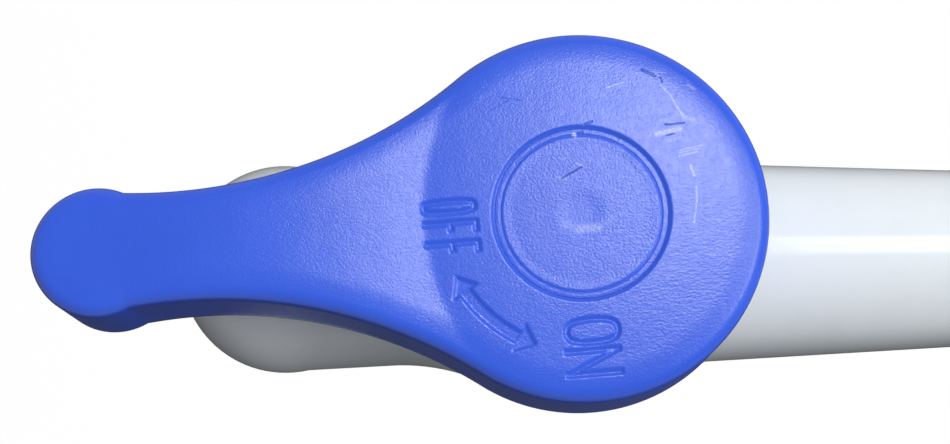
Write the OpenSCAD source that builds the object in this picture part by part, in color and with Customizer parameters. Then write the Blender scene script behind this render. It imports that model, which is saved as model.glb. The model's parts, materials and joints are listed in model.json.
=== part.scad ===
// Lever tap with two outlets, in moulded plastic.
// The supply screws in at the right (+X). A quarter-turn ball valve stands under the round hub
// of the blue lever. It feeds a turned-down spout at the left and a hose tail underneath.
// Millimetres, +Z up. The origin is on the inlet axis, at the shoulder that meets the wall.

/* [Inlet] */
// Major diameter of the inlet thread, G 1/2
inlet_thread_d = 20.96; // [20.4:0.02:21.4]
// Length of the inlet thread with its lead-in chamfer
inlet_thread_len = 15; // [12:0.5:20]
// Lead-in chamfer at the open end of each thread
thread_chamfer = 1; // [0.5:0.1:1.5]
// Bore through the inlet thread
inlet_bore_d = 15; // [12:0.5:16]
// Length of the six-sided wrench collar
collar_len = 11; // [8:0.5:16]
// Wrench collar, across its flats
collar_flats = 30; // [29:0.5:34]
// How far the wrench collar's corners are turned down from sharp
collar_corner_cut = 0.5; // [0.2:0.1:1]
// Distance from the spindle to the wrench collar
barrel_len = 59; // [50:1:80]
// Outer diameter of the barrel beside the valve
barrel_d_valve = 27.8; // [27.2:0.2:30]
// Outer diameter of the barrel beside the collar
barrel_d_inlet = 24.8; // [24.6:0.2:27]
// Radius of the blend from the barrel up to the collar
barrel_blend_r = 8; // [5:0.5:10]
// Length of the cone inside the barrel, down to the inlet bore
barrel_cone_len = 5; // [3:0.5:8]

/* [Valve] */
// Diameter of the ball
ball_d = 23; // [22.6:0.1:24]
// Waterway through the ball
port_d = 11; // [9:0.2:11.4]
// Radial width of a seat ring
seat_wall = 2.1; // [1.8:0.1:2.2]
// How much wider a seat ring's hole is than the waterway, on the radius
seat_step = 0.3; // [0.1:0.1:0.3]
// Thickness of a seat ring behind the top of the ball
seat_back_t = 0.8; // [0.6:0.1:1.2]
// Running gap between sliding faces
running_gap = 0.05; // [0.03:0.01:0.08]
// Gap between faces that are screwed or pressed together
fit_gap = 0.03; // [0.02:0.01:0.05]
// Gap between the ball and the wall of its chamber
chamber_gap = 0.4; // [0.3:0.1:0.8]
// Extra radius of the socket that the ball passes through
socket_step = 0.7; // [0.5:0.1:1]
// Thickness of the seat carrier behind its seat
carrier_back_t = 0.7; // [0.5:0.1:1]
// Wall of the socket that takes the barrel
socket_wall = 2.9; // [2.4:0.1:3.2]
// Length of the barrel's spigot in the socket
spigot_len = 5.5; // [5:0.5:6]
// Wall of the barrel's spigot
spigot_wall = 2.5; // [2.3:0.1:2.8]
// Thickness of the rubber rings
oring_t = 1.8; // [1.6:0.1:2]
// Thickness of the two small rubber rings on the stem
stem_oring_t = 1.1; // [1:0.05:1.2]

/* [Body] */
// Diameter of the round body around the ball
body_d = 40; // [38:0.5:42]
// Radius of the blend from the round body to the spout tube
body_blend_r = 28; // [20:1:32]
// Radius of the blend from the round body to the socket
socket_blend_r = 5; // [3:0.5:7]
// Diameter of the spout tube at its waist
tube_d_waist = 27.4; // [26:0.2:28]
// Diameter of the spout tube at the elbow
tube_d_elbow = 28.6; // [27.4:0.2:28.8]
// Distance from the spindle to the spout's centre
spout_reach = 39.5; // [38:0.5:50]
// Diameter of the rounded elbow
elbow_d = 29; // [28.8:0.2:31]
// Drop of the spout's cone below the tube's axis
spout_drop = 19; // [16:0.5:24]
// Taper of the spout's cone, from upright
spout_taper = 9; // [6:0.5:10]
// Waterway in the spout tube
tube_bore_d = 18.6; // [17:0.2:20]
// Waterway in the spout's mouth
mouth_bore_d = 14.4; // [13:0.2:15]
// Threaded end of the spout, which holds the aerator ring
mouth_thread_d = 18.4; // [18:0.1:19]
// Length of the spout's threaded end
mouth_thread_len = 4.5; // [4:0.5:6]

/* [Hose outlet] */
// Diameter of the shoulder over the hose thread
hose_shoulder_d = 30; // [29:0.5:32]
// Depth of that shoulder's face below the tube's axis
hose_shoulder_drop = 20; // [19.5:0.5:24]
// Major diameter of the hose thread, G 3/4
hose_thread_d = 26.44; // [26:0.02:26.8]
// Length of the hose thread
hose_thread_len = 10; // [9:0.5:14]
// Bore of the hose outlet
hose_bore_d = 17; // [14:0.5:19]
// Thickness of the hose washer
hose_washer_t = 2; // [1.5:0.1:3]
// Hole of the hose washer
hose_washer_hole_d = 14.6; // [14:0.2:16]
// Outer diameter of the hose nut
hose_nut_d = 30.8; // [30.4:0.2:33]
// Thickness of the hose nut's inward lip
hose_nut_lip = 2.4; // [2:0.1:3]
// Number of finger grooves round the hose nut
hose_nut_grooves = 18; // [12:1:24]
// Thickness of the hose tail's flange
tail_flange_t = 2; // [1.6:0.1:3]
// Diameter of the hose tail's neck inside the nut
tail_neck_d = 20; // [19.6:0.2:21]
// Diameter over the hose tail's barbs
tail_barb_d = 19; // [18:0.2:19.4]
// Diameter between the hose tail's barbs
tail_root_d = 17.2; // [16.6:0.2:17.6]
// Waterway in the hose tail
tail_bore_d = 12.6; // [11:0.2:13.4]
// Number of barbs
tail_barbs = 4; // [3:1:6]
// Distance from barb to barb
tail_pitch = 4.8; // [4.4:0.1:6]
// Flat land on each barb
tail_land = 1.6; // [1.2:0.1:2]
// Straight piece above each barb
tail_step = 0.8; // [0.4:0.1:1]

/* [Stem] */
// Thickness of the body's shelf under the stem's disc
shelf_t = 1; // [0.8:0.1:1.5]
// Thickness of the stem's disc
stem_disc_t = 1.2; // [1:0.1:1.6]
// Diameter of the stem's disc
stem_disc_d = 13.6; // [13:0.1:13.8]
// Diameter of the stem where it turns in the gland nut
stem_d = 9; // [8.6:0.1:9.4]
// Width of the stem's tongue in the ball
tongue_w = 4; // [3:0.2:5]
// Depth of the ball's slot for the tongue
slot_depth = 3; // [2.4:0.1:3.4]
// Thickness of the thrust washer
thrust_t = 0.7; // [0.5:0.1:1]
// Diameter of the gland nut's thread
gland_thread_d = 15; // [14.6:0.2:15.6]
// Length of the gland nut's thread
gland_thread_len = 3.0; // [2.6:0.1:4]
// Thickness of the gland nut's head
gland_head_t = 2.0; // [1.5:0.1:2.5]
// Gland nut's head, across its flats
gland_flats = 16.2; // [15.8:0.2:17]
// Wall of the neck that takes the gland nut
neck_wall = 2.2; // [1.8:0.1:3]
// Square at the top of the stem, across its flats
square_w = 6.2; // [5.8:0.1:6.4]

/* [Lever] */
// How far the lever stands open from its closed stop, in degrees
rest_turn = 4.0; // [0:0.1:10]
// Travel of the lever from closed to open, in degrees
lever_travel = 90; // [80:1:95]
// Diameter of the lever's round hub
hub_d = 46; // [45:0.5:50]
// Width of the arm at its waist
waist_w = 13.6; // [11:0.2:15]
// Distance from the spindle to the arm's waist
waist_reach = 49; // [46:0.5:60]
// Distance from the waist to the centre of the lever's round tip
tip_past_waist = 9.6; // [8:0.2:10.4]
// How much wider the round tip is than the waist
tip_growth = 2.3; // [1.8:0.1:3]
// How far inside the hub's edge the crease, where the arm starts to rise, crosses the arm's middle
crease_inset = 3; // [1.4:0.2:4]
// How much larger than the hub's radius the arc is that the crease follows
crease_spread = 7.6; // [5:0.2:11]
// Rise of the arm past the crease, in degrees
arm_rise = 2.5; // [0:0.5:8]
// Depth of the lever's side wall
skirt_depth = 13; // [11:0.5:14]
// Radius of the lever's rounded upper edge
edge_r = 1.6; // [1:0.1:2]
// Thickness of the lever's side wall
lever_wall = 2.4; // [2:0.1:2.8]
// Thickness of the lever's top
lever_top_t = 3; // [2.5:0.1:3.5]
// Thickness of the ribs under the lever
rib_t = 2; // [1.4:0.1:2.4]
// Gap between the gland nut and the lever's boss
boss_gap = 0.3; // [0.2:0.1:0.6]
// Diameter of the lever's boss round the square
boss_d = 14; // [12:0.5:16]
// Depth of the square socket in the lever
socket_len = 5.6; // [4:0.2:6]
// Thickness of the web under the screw's head
web_t = 1.2; // [1:0.1:2]
// Height of the space for the screw's head
head_space = 3.4; // [2.9:0.1:4]

/* [Stops] */
// Gap between the body's lug and the lever's ribs at either end of the travel
stop_gap = 0.3; // [0.1:0.05:0.6]
// Half the width of the stop lug, in degrees
lug_half_a = 9; // [6:1:12]
// Inner radius of the stop lug
lug_in_r = 12.6; // [12:0.1:14]
// Outer radius of the stop lug
lug_out_r = 18.4; // [17:0.1:19]
// How far the stop lug reaches up past the ribs' lower edge
lug_overlap = 3; // [1.5:0.5:4]

/* [Engraved marks] */
// Depth of the engraved marks
mark_depth = 0.4; // [0.2:0.05:0.6]
// Distance from the spindle to the middle of the two words
word_reach = 16.5; // [15.5:0.1:17]
// Height of the letters
letter_h = 7.5; // [6:0.1:8]
// Width of the strokes
letter_stroke = 0.85; // [0.5:0.05:0.95]
// Gap from letter to letter
letter_gap = 0.4; // [0.3:0.05:0.6]
// Width of the letters in OFF
off_w = 2.2; // [1.8:0.1:3]
// Width of the letters in ON
on_w = 3.7; // [3:0.1:4.4]
// Distance from the spindle to the middle of the arrow
arrow_reach = 17.1; // [16:0.1:17.6]
// Width of the arrow's shaft
arrow_w = 1.6; // [1:0.1:2]
// Width of the arrow's heads
arrow_head_w = 4.4; // [3.4:0.1:5]
// Length of each head, in degrees round the spindle
arrow_head_a = 8; // [6:0.5:10]
// Where the arrow starts, in degrees from the arm
arrow_from_a = 22.5; // [18:0.5:28]
// Where the arrow ends, in degrees from the arm
arrow_to_a = 67; // [60:0.5:70]

/* [Cap and screw] */
// Diameter of the recess for the cap
cap_recess_d = 21.9; // [21:0.1:24]
// Gap between the cap and its recess
cap_gap = 0.15; // [0.1:0.05:0.3]
// Diameter of the cap's top face inside its bevel
cap_face_d = 19.7; // [19:0.1:20.8]
// Thickness of the cap
cap_t = 1.3; // [1.1:0.1:1.6]
// Depth of the cap's top face below the hub
cap_sink = 0.3; // [0.1:0.05:0.5]
// Depth of the shallow dish in the cap
cap_dish = 0.4; // [0.2:0.05:0.5]
// Height of the cap's bevel
cap_bevel = 0.8; // [0.5:0.05:1]
// Diameter of the pocket for the screw's head
pocket_d = 18; // [16:0.5:19]
// Wall of the cup round that pocket
pocket_wall = 2; // [1.6:0.1:2.4]
// Floor of that cup
pocket_floor_t = 2; // [1.6:0.1:3]
// Wall of the cap's snap ring
snap_wall = 1.2; // [1:0.1:1.6]
// Depth of the cap's snap ring
snap_depth = 2; // [1.5:0.1:2.4]
// Diameter of the screw's thread
screw_d = 3.8; // [3.2:0.1:4.2]
// Diameter of the screw's head
screw_head_d = 7.4; // [7:0.1:9]
// Height of the screw's head
screw_head_h = 2; // [1.6:0.1:2.2]
// Length of the screw below its head
screw_len = 12; // [10:0.5:13]
// Thickness of the washer under the screw's head
screw_washer_t = 0.7; // [0.5:0.1:0.8]
// Outer diameter of that washer
screw_washer_d = 10; // [9:0.2:12]

/* [Aerator] */
// Diameter of the aerator ring at its lower end
aerator_d = 20; // [19.6:0.2:21]
// Opening in the aerator ring's lip
aerator_mouth_d = 15.7; // [15:0.1:16]
// Thickness of the aerator ring's lip
aerator_lip_t = 1.9; // [1.5:0.1:2.4]
// Thickness of the aerator's washer
aerator_washer_t = 1; // [0.8:0.1:1.4]
// Hole of the aerator's washer
aerator_washer_hole_d = 14.8; // [14.4:0.1:15.2]
// Thickness of the flange of the aerator's insert
insert_flange_t = 0.8; // [0.6:0.1:1.2]
// Diameter of the holes in the insert
insert_hole_d = 2; // [1.4:0.1:2.2]
// Distance from hole to hole in the insert
insert_pitch = 3.1; // [2.8:0.1:3.1]
// Thickness of the round mesh
mesh_t = 0.4; // [0.3:0.05:0.6]
// Diameter of the holes in the mesh
mesh_hole_d = 1; // [0.6:0.1:1.1]
// Distance from hole to hole in the mesh
mesh_pitch = 1.5; // [1.4:0.05:1.6]

/* [Hidden] */
$fn = 64;

spindle_x = -(collar_len + barrel_len);
over = 1;

// Valve
ball_r = ball_d / 2;
port_r = port_d / 2;
seat_in_r = port_r + seat_step;
seat_out_r = seat_in_r + seat_wall;
seat_front = sqrt(ball_r * ball_r - seat_out_r * seat_out_r);
seat_back = ball_r + seat_back_t;
chamber_r = ball_r + chamber_gap;
carrier_r = chamber_r + socket_step;
carrier_front = seat_front + chamber_gap + 0.4;
carrier_back = seat_back + carrier_back_t;
socket_bore_r = carrier_r + fit_gap;
socket_r = socket_bore_r + socket_wall;
socket_end = carrier_back + spigot_len;
barrel_bore_r = carrier_r - spigot_wall;
groove_w = oring_t + 0.3;
groove_at = carrier_back + spigot_len / 2;

// Body
body_r = body_d / 2;
waist_r = tube_d_waist / 2;
tube_start = sqrt(pow(body_r + body_blend_r, 2) - pow(waist_r + body_blend_r, 2));
socket_start = sqrt(pow(body_r + socket_blend_r, 2) - pow(socket_r + socket_blend_r, 2));
elbow_r = elbow_d / 2;
spout_mouth_r = elbow_r / cos(spout_taper) - spout_drop * tan(spout_taper);
mouth_end = spout_drop + mouth_thread_len;
hose_thread_end = hose_shoulder_drop + hose_thread_len;

// Stem, gland nut and lever, from the ball upwards
shelf_top = chamber_r + shelf_t;
disc_top = shelf_top + running_gap + stem_disc_t;
thrust_base = disc_top + running_gap;
gland_base = thrust_base + thrust_t;
deck_z = gland_base + gland_thread_len;
gland_top = deck_z + gland_head_t;
boss_base = gland_top + boss_gap;
socket_top = boss_base + socket_len;
web_top = socket_top + web_t;
cap_base = web_top + head_space;
cap_top = cap_base + cap_t;
lever_top = cap_top + cap_sink;
skirt_base = lever_top - skirt_depth;
lever_ceiling = lever_top - lever_top_t;
stem_r = stem_d / 2;
stem_bore_r = stem_r + running_gap;
disc_bore_r = stem_disc_d / 2 + 2 * running_gap;
stem_groove_r = stem_bore_r - stem_oring_t - fit_gap;
stem_groove_w = stem_oring_t + 0.1;
gland_len = gland_top - gland_base;
stem_oring_low_z = gland_base + gland_len * 0.28;
stem_oring_high_z = gland_base + gland_len * 0.72;
square_top = socket_top - 0.2;
square_gap = 0.05;

// Lever outline. Each side is one hollow arc, tangent to the hub and narrowest at the waist.
hub_r = hub_d / 2;
arm_r = waist_w / 2;
tip_r = arm_r + tip_growth / 2;
lever_reach = waist_reach + tip_past_waist;
side_r = (waist_reach * waist_reach + arm_r * arm_r - hub_r * hub_r) / (2 * (hub_r - arm_r));
side_c = [waist_reach, arm_r + side_r];
tangent_a = atan2(side_c.y, side_c.x);
tangent_p = hub_r * [cos(tangent_a), sin(tangent_a)];
tip_gap = side_c - [lever_reach, 0];
tip_dist = norm(tip_gap);
tip_dir = tip_gap / tip_dist;
tip_along = (tip_r * tip_r - side_r * side_r + tip_dist * tip_dist) / (2 * tip_dist);
tip_across = sqrt(max(0, tip_r * tip_r - tip_along * tip_along));
corner_p = [lever_reach, 0] + tip_along * tip_dir + tip_across * [-tip_dir.y, tip_dir.x];
corner_side_a = atan2(corner_p.y - side_c.y, corner_p.x - side_c.x);
corner_tip_a = atan2(corner_p.y, corner_p.x - lever_reach);

// The crease is an arc round a point on the lever's axis. Past it the top is a shallow cone.
crease_reach = hub_r - crease_inset;
crease_r = hub_r + crease_spread;
crease_c = crease_reach - crease_r;
rise = tan(arm_rise);

// Where the crease meets the flat top's edge, as an angle round the side arc's centre
crease_gap = [crease_c, 0] - side_c;
crease_dist = norm(crease_gap);
inset_r = side_r + edge_r;
crease_along = (inset_r * inset_r - crease_r * crease_r + crease_dist * crease_dist) / (2 * crease_dist);
crease_side_a = atan2(crease_gap.y, crease_gap.x) + acos(crease_along / inset_r) + 360;

// Stops: a lug on the body stands between two ribs of the lever
stop_rib_a = lug_half_a + asin((rib_t / 2 + stop_gap) / lug_in_r);
rib_base = boss_base + 0.3;
lug_top = rib_base + lug_overlap;

// Cap, screw and aerator
recess_r = cap_recess_d / 2;
cap_r = recess_r - cap_gap;
cap_face_r = cap_face_d / 2;
pocket_r = pocket_d / 2;
dish_r = (pow(cap_face_r - 1, 2) + cap_dish * cap_dish) / (2 * cap_dish);
ring_top = spout_drop + 0.2;
aerator_washer_base = mouth_end + aerator_washer_t;
insert_flange_base = aerator_washer_base + insert_flange_t;
ring_base = insert_flange_base + aerator_lip_t;
mouth_thread_r = mouth_thread_d / 2;
ring_bore_r = mouth_thread_r + fit_gap;

// Hose outlet
hose_thread_r = hose_thread_d / 2;
hose_nut_bore_r = hose_thread_r + fit_gap;
hose_washer_base = hose_thread_end + hose_washer_t;
tail_flange_base = hose_washer_base + tail_flange_t;
hose_nut_base = tail_flange_base + hose_nut_lip;
hose_nut_top = hose_shoulder_drop + 1;
tail_neck_r = tail_neck_d / 2;
tail_neck_end = hose_nut_base + 0.8;
tail_end = tail_neck_end + tail_barbs * tail_pitch;

white = [0.93, 0.95, 0.96];
blue = [0.25, 0.35, 0.92];
seal = [0.12, 0.12, 0.13];
natural = [0.88, 0.87, 0.8];
steel = [0.72, 0.73, 0.75];

// Places a part on the spindle, where the tube's axis crosses it
module at_spindle() {
    translate([spindle_x, 0, 0]) children();
}

// Turns a shape that stands along +Z so that it lies along +X
module along_x() {
    rotate([0, 90, 0]) children();
}

// A straight ring along +Z
module ring(outer_r, inner_r, low, high) {
    difference() {
        translate([0, 0, low]) cylinder(r = outer_r, h = high - low);
        translate([0, 0, low - over]) cylinder(r = inner_r, h = high - low + 2 * over);
    }
}

// A rubber ring of round section around Z
module oring(middle_r, section_r) {
    rotate_extrude() translate([middle_r, 0]) circle(r = section_r);
}

// The wedge of a full turn between two angles, for cutting round shapes
module wedge(from_a, to_a, r, low, high) {
    far = r / cos((to_a - from_a) / 2) * 1.05;
    translate([0, 0, low]) linear_extrude(high - low)
        polygon([[0, 0], far * [cos(from_a), sin(from_a)], far * [cos(to_a), sin(to_a)]]);
}

// Section of a hollow blend between a ball and the tube or socket that leaves it
module blend_section(tube_r, blend_r, start) {
    touch = body_r / (body_r + blend_r) * [tube_r + blend_r, start];
    difference() {
        polygon([[0, 0], [0, start], [tube_r + blend_r, start], touch]);
        translate([tube_r + blend_r, start]) circle(r = blend_r, $fn = 180);
    }
}

// Section of the main body, turned about the tube's axis
module body_section() {
    intersection() {
        circle(r = body_r, $fn = 180);
        translate([0, -body_r]) square([body_r, 2 * body_r]);
    }
    blend_section(socket_r, socket_blend_r, socket_start);
    translate([0, socket_start - over]) square([socket_r, socket_end - socket_start + over]);
    mirror([0, 1]) {
        blend_section(waist_r, body_blend_r, tube_start);
        polygon([
            [0, tube_start - over], [waist_r, tube_start - over], [waist_r, tube_start],
            [tube_d_elbow / 2, spout_reach], [0, spout_reach]
        ]);
    }
}

// Section of the elbow and the spout's cone, turned about the spout's axis
module spout_section() {
    touch = elbow_r * [cos(spout_taper), -sin(spout_taper)];
    intersection() {
        circle(r = elbow_r, $fn = 180);
        translate([0, -elbow_r]) square([elbow_r, 2 * elbow_r]);
    }
    polygon([[0, touch.y], touch, [spout_mouth_r, -spout_drop], [0, -spout_drop]]);
}

// The seat ring lies along +X with its hollow face to the ball
module seat() {
    along_x() difference() {
        ring(seat_out_r, seat_in_r, seat_front, seat_back);
        sphere(r = ball_r + running_gap);
    }
}

// Room for one seat ring and the port behind it
module seat_pocket(port_end) {
    along_x() {
        cylinder(r = seat_out_r + fit_gap, h = seat_back);
        cylinder(r = port_r, h = port_end);
    }
}

module stop_lug() {
    intersection() {
        ring(lug_out_r, lug_in_r, 0, lug_top);
        wedge(-lug_half_a, lug_half_a, lug_out_r, 0, lug_top);
    }
}

module tap_body() {
    color(white) at_spindle() difference() {
        union() {
            difference() {
                along_x() rotate_extrude() body_section();
                translate([0, 0, deck_z]) cylinder(r = body_r, h = body_r);
            }
            translate([-spout_reach, 0, 0]) {
                rotate_extrude() spout_section();
                translate([0, 0, -mouth_end]) cylinder(r = mouth_thread_r, h = mouth_end);
            }
            translate([0, 0, ball_r])
                cylinder(r = gland_thread_d / 2 + neck_wall, h = deck_z - ball_r);
            translate([0, 0, -hose_shoulder_drop])
                cylinder(r = hose_shoulder_d / 2, h = hose_shoulder_drop - ball_r);
            translate([0, 0, -hose_thread_end]) cylinder(r = hose_thread_r, h = hose_thread_end);
            stop_lug();
        }
        // Ball chamber, open towards the inlet
        sphere(r = chamber_r);
        along_x() cylinder(r = chamber_r, h = carrier_front + over);
        along_x() translate([0, 0, carrier_front])
            cylinder(r = socket_bore_r, h = max(socket_end, body_r) - carrier_front + over);
        // Seat pockets and ports
        rotate([0, 0, 180]) seat_pocket(tube_start);
        rotate([0, 90, 0]) seat_pocket(hose_shoulder_drop);
        // Waterway to the spout
        along_x() translate([0, 0, -spout_reach])
            cylinder(r = tube_bore_d / 2, h = spout_reach - seat_back - seat_wall);
        translate([-spout_reach, 0, 0]) {
            sphere(r = tube_bore_d / 2);
            translate([0, 0, -mouth_end - over]) cylinder(r = mouth_bore_d / 2, h = mouth_end + over);
        }
        // Waterway to the hose
        translate([0, 0, -hose_thread_end - over])
            cylinder(r = hose_bore_d / 2, h = hose_thread_len + over);
        // Neck for the stem, its disc, the thrust washer and the gland nut
        cylinder(r = stem_bore_r, h = shelf_top + over);
        translate([0, 0, shelf_top]) cylinder(r = disc_bore_r, h = deck_z);
        translate([0, 0, thrust_base])
            cylinder(r = gland_thread_d / 2 + fit_gap, h = deck_z);
    }
}

// Section of the barrel's outside, turned about the tube's axis. The blend's arc bites a hair into
// the barrel, so that it crosses it instead of only touching it.
module barrel_section() {
    bite = 0.02;
    end_r = barrel_d_inlet / 2;
    growth = min(collar_flats / 2 - end_r, barrel_blend_r);
    blend_start = barrel_len - sqrt(pow(barrel_blend_r, 2) - pow(barrel_blend_r - growth, 2));
    polygon([
        [0, carrier_back], [carrier_r, carrier_back], [carrier_r, socket_end],
        [barrel_d_valve / 2, socket_end], [end_r, blend_start],
        [end_r, barrel_len + over], [0, barrel_len + over]
    ]);
    difference() {
        translate([0, blend_start]) square([end_r + growth, barrel_len - blend_start]);
        translate([end_r + barrel_blend_r, blend_start])
            circle(r = barrel_blend_r + bite, $fn = 180);
    }
}

module wrench_collar() {
    corner_d = collar_flats / cos(30);
    translate([0, 0, barrel_len]) intersection() {
        rotate([0, 0, 30]) cylinder(d = corner_d, h = collar_len, $fn = 6);
        cylinder(d = corner_d - 2 * collar_corner_cut, h = collar_len);
    }
}

// Section of the inlet thread with its lead-in chamfer
module thread_section() {
    end_at = -spindle_x + inlet_thread_len;
    thread_r = inlet_thread_d / 2;
    polygon([
        [0, barrel_len + over], [thread_r, barrel_len + over], [thread_r, end_at - thread_chamfer],
        [thread_r - thread_chamfer, end_at], [0, end_at]
    ]);
}

module inlet_barrel() {
    color(white) at_spindle() along_x() difference() {
        union() {
            rotate_extrude() barrel_section();
            wrench_collar();
            rotate_extrude() thread_section();
        }
        translate([0, 0, carrier_back - over])
            cylinder(r = barrel_bore_r, h = barrel_len - barrel_cone_len - carrier_back + over);
        translate([0, 0, barrel_len - barrel_cone_len])
            cylinder(r1 = barrel_bore_r, r2 = inlet_bore_d / 2, h = barrel_cone_len);
        translate([0, 0, barrel_len - over])
            cylinder(d = inlet_bore_d, h = -spindle_x + inlet_thread_len - barrel_len + 2 * over);
        // Groove for the rubber ring
        translate([0, 0, groove_at])
            ring(carrier_r + over, carrier_r - oring_t, -groove_w / 2, groove_w / 2);
    }
}

module barrel_oring() {
    color(seal) at_spindle() along_x() translate([0, 0, groove_at])
        oring(carrier_r - oring_t / 2, oring_t / 2 - fit_gap / 2);
}

module seat_carrier() {
    color(natural) at_spindle() difference() {
        along_x() ring(carrier_r, port_r, carrier_front, carrier_back);
        seat_pocket(seat_back);
    }
}

module inlet_seat() {
    color(natural) at_spindle() seat();
}

module spout_seat() {
    color(natural) at_spindle() rotate([0, 0, 180]) seat();
}

module lower_seat() {
    color(natural) at_spindle() rotate([0, 90, 0]) seat();
}

// Turns a part of the lever's body from the closed stop to where the lever stands
module at_lever() {
    at_spindle() rotate([0, 0, rest_turn]) children();
}

module ball() {
    slot_w = tongue_w + 2 * square_gap;
    color(natural) at_lever() difference() {
        sphere(r = ball_r);
        rotate([90, 0, 0]) cylinder(r = port_r, h = ball_d + 2 * over, center = true);
        translate([0, 0, -ball_r - over]) cylinder(r = port_r, h = ball_r + over);
        translate([-ball_r, -slot_w / 2, ball_r - slot_depth]) cube([ball_d, slot_w, slot_depth + over]);
    }
}

module stem() {
    foot = ball_r - slot_depth + 0.2;
    color(natural) at_lever() difference() {
        union() {
            intersection() {
                translate([0, 0, foot]) cylinder(r = stem_r, h = shelf_top - foot);
                translate([-stem_r, -tongue_w / 2, foot])
                    cube([stem_d, tongue_w, ball_r + running_gap - foot]);
            }
            translate([0, 0, ball_r + running_gap])
                cylinder(r = stem_r, h = gland_top - ball_r - running_gap);
            translate([0, 0, shelf_top + running_gap]) cylinder(d = stem_disc_d, h = stem_disc_t);
            translate([-square_w / 2, -square_w / 2, gland_top])
                cube([square_w, square_w, square_top - gland_top]);
        }
        for (z = [stem_oring_low_z, stem_oring_high_z])
            translate([0, 0, z])
                ring(stem_r + over, stem_groove_r, -stem_groove_w / 2, stem_groove_w / 2);
        translate([0, 0, web_top + screw_washer_t - screw_len - 0.3])
            cylinder(r = screw_d / 2 + fit_gap, h = screw_len + over);
    }
}

// A rubber ring that turns with the stem and rubs on the gland nut's bore
module stem_oring() {
    oring(stem_groove_r + stem_oring_t / 2, stem_oring_t / 2);
}

module stem_oring_lower() {
    color(seal) at_lever() translate([0, 0, stem_oring_low_z]) stem_oring();
}

module stem_oring_upper() {
    color(seal) at_lever() translate([0, 0, stem_oring_high_z]) stem_oring();
}

module thrust_washer() {
    color(natural) at_spindle() ring(gland_thread_d / 2, stem_bore_r, thrust_base, gland_base);
}

module gland_nut() {
    color(white) at_spindle() difference() {
        union() {
            translate([0, 0, gland_base]) cylinder(d = gland_thread_d, h = gland_thread_len);
            translate([0, 0, deck_z]) cylinder(d = gland_flats / cos(30), h = gland_head_t, $fn = 6);
        }
        translate([0, 0, gland_base - over]) cylinder(r = stem_bore_r, h = gland_len + 2 * over);
    }
}

// The lever's outline, drawn in by a margin, as arcs. +X runs from the spindle to the tip. The
// side arcs bite a hair into the hub's arc, so that they cross it instead of only touching it.
module lever_outline(margin) {
    bite = 0.02;
    difference() {
        union() {
            circle(r = hub_r - margin, $fn = 180);
            polygon([
                [0, 0], side_c, [lever_reach, side_c.y],
                [lever_reach, -side_c.y], [side_c.x, -side_c.y]
            ]);
        }
        for (side = [1, -1])
            translate([side_c.x, side * side_c.y]) circle(r = side_r + margin + bite, $fn = 360);
    }
    translate([lever_reach, 0]) circle(r = tip_r - margin);
}

// Everything under the lever's top face, lowered by a depth: flat over the hub, then rising
module under_top(depth, low) {
    far = lever_reach + hub_r - crease_c;
    translate([crease_c, 0, 0]) rotate_extrude($fn = 180) polygon([
        [0, low], [far, low], [far, lever_top - depth + (far - crease_r) * rise],
        [crease_r, lever_top - depth], [0, lever_top - depth]
    ]);
}

// Height of the lever's top face at a point
function top_z(p) = lever_top + max(0, norm(p - [crease_c, 0]) - crease_r) * rise;

// Samples of the outline from the crease to the tip, each with its arc's centre, direction,
// radius and sense. Hollow arcs have the sense -1.
side_steps = 16;
tip_steps = 14;
hub_steps = 36;
arm_samples = [
    for (i = [0 : side_steps])
        [side_c, crease_side_a + (corner_side_a + 360 - crease_side_a) * i / side_steps, side_r, -1],
    for (i = [0 : tip_steps])
        [[lever_reach, 0], corner_tip_a * (1 - i / tip_steps), tip_r, 1]
];
hub_samples = [
    for (i = [0 : hub_steps])
        [[0, 0], tangent_a + (360 - 2 * tangent_a) * i / hub_steps, hub_r, 1]
];
rows = len(arm_samples);
hub_rows = len(hub_samples);

// A sample's point, moved into the lever by a margin
function inside(s, margin) = s[0] + (s[2] - s[3] * margin) * [cos(s[1]), sin(s[1])];
function flip(p) = [p.x, -p.y];

// One closed loop round the outline: down one side from the tip, round the hub and back
function loop_points(margin) = concat(
    [for (i = [rows - 1 : -1 : 0]) inside(arm_samples[i], margin)],
    [for (s = hub_samples) inside(s, margin)],
    [for (i = [0 : rows - 2]) flip(inside(arm_samples[i], margin))]
);
function lift(points, drop) = [for (p = points) [p.x, p.y, top_z(p) - drop]];

// The points across the arm in one row, all at one distance from the crease's centre
columns = 6;
function row_points(i) =
    let (
        p = inside(arm_samples[i], edge_r),
        far = norm(p - [crease_c, 0]),
        a = atan2(p.y, p.x - crease_c)
    )
    [for (k = [1 : columns - 1])
        let (b = a * (1 - 2 * k / columns)) [crease_c, 0] + far * [cos(b), sin(b)]];

// The lever's outside is one closed skin: upright wall, rounded edge and top. It runs down past
// the lever's lower edge, which is cut afterwards.
edge_steps = 4;
edge_margins = [for (k = [0 : edge_steps]) edge_r * (1 - cos(90 * k / edge_steps))];
edge_drops = [for (k = [0 : edge_steps]) edge_r * (1 - sin(90 * k / edge_steps))];
loop_len = 2 * rows - 1 + hub_rows;
skin_points = concat(
    [for (p = loop_points(0)) [p.x, p.y, skirt_base - 2 * over]],
    [for (k = [0 : edge_steps]) each lift(loop_points(edge_margins[k]), edge_drops[k])],
    [for (i = [0 : rows - 2]) each lift(row_points(i), 0)]
);
top_ring = (edge_steps + 1) * loop_len;
top_inner = top_ring + loop_len;

// Index of the point in row i and column k of the arm's top
function cell(i, k) =
    i == rows - 1 ? top_ring :
    k == 0 ? top_ring + rows - 1 - i :
    k == columns ? top_ring + rows + hub_rows + i :
    top_inner + i * (columns - 1) + k - 1;

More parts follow.
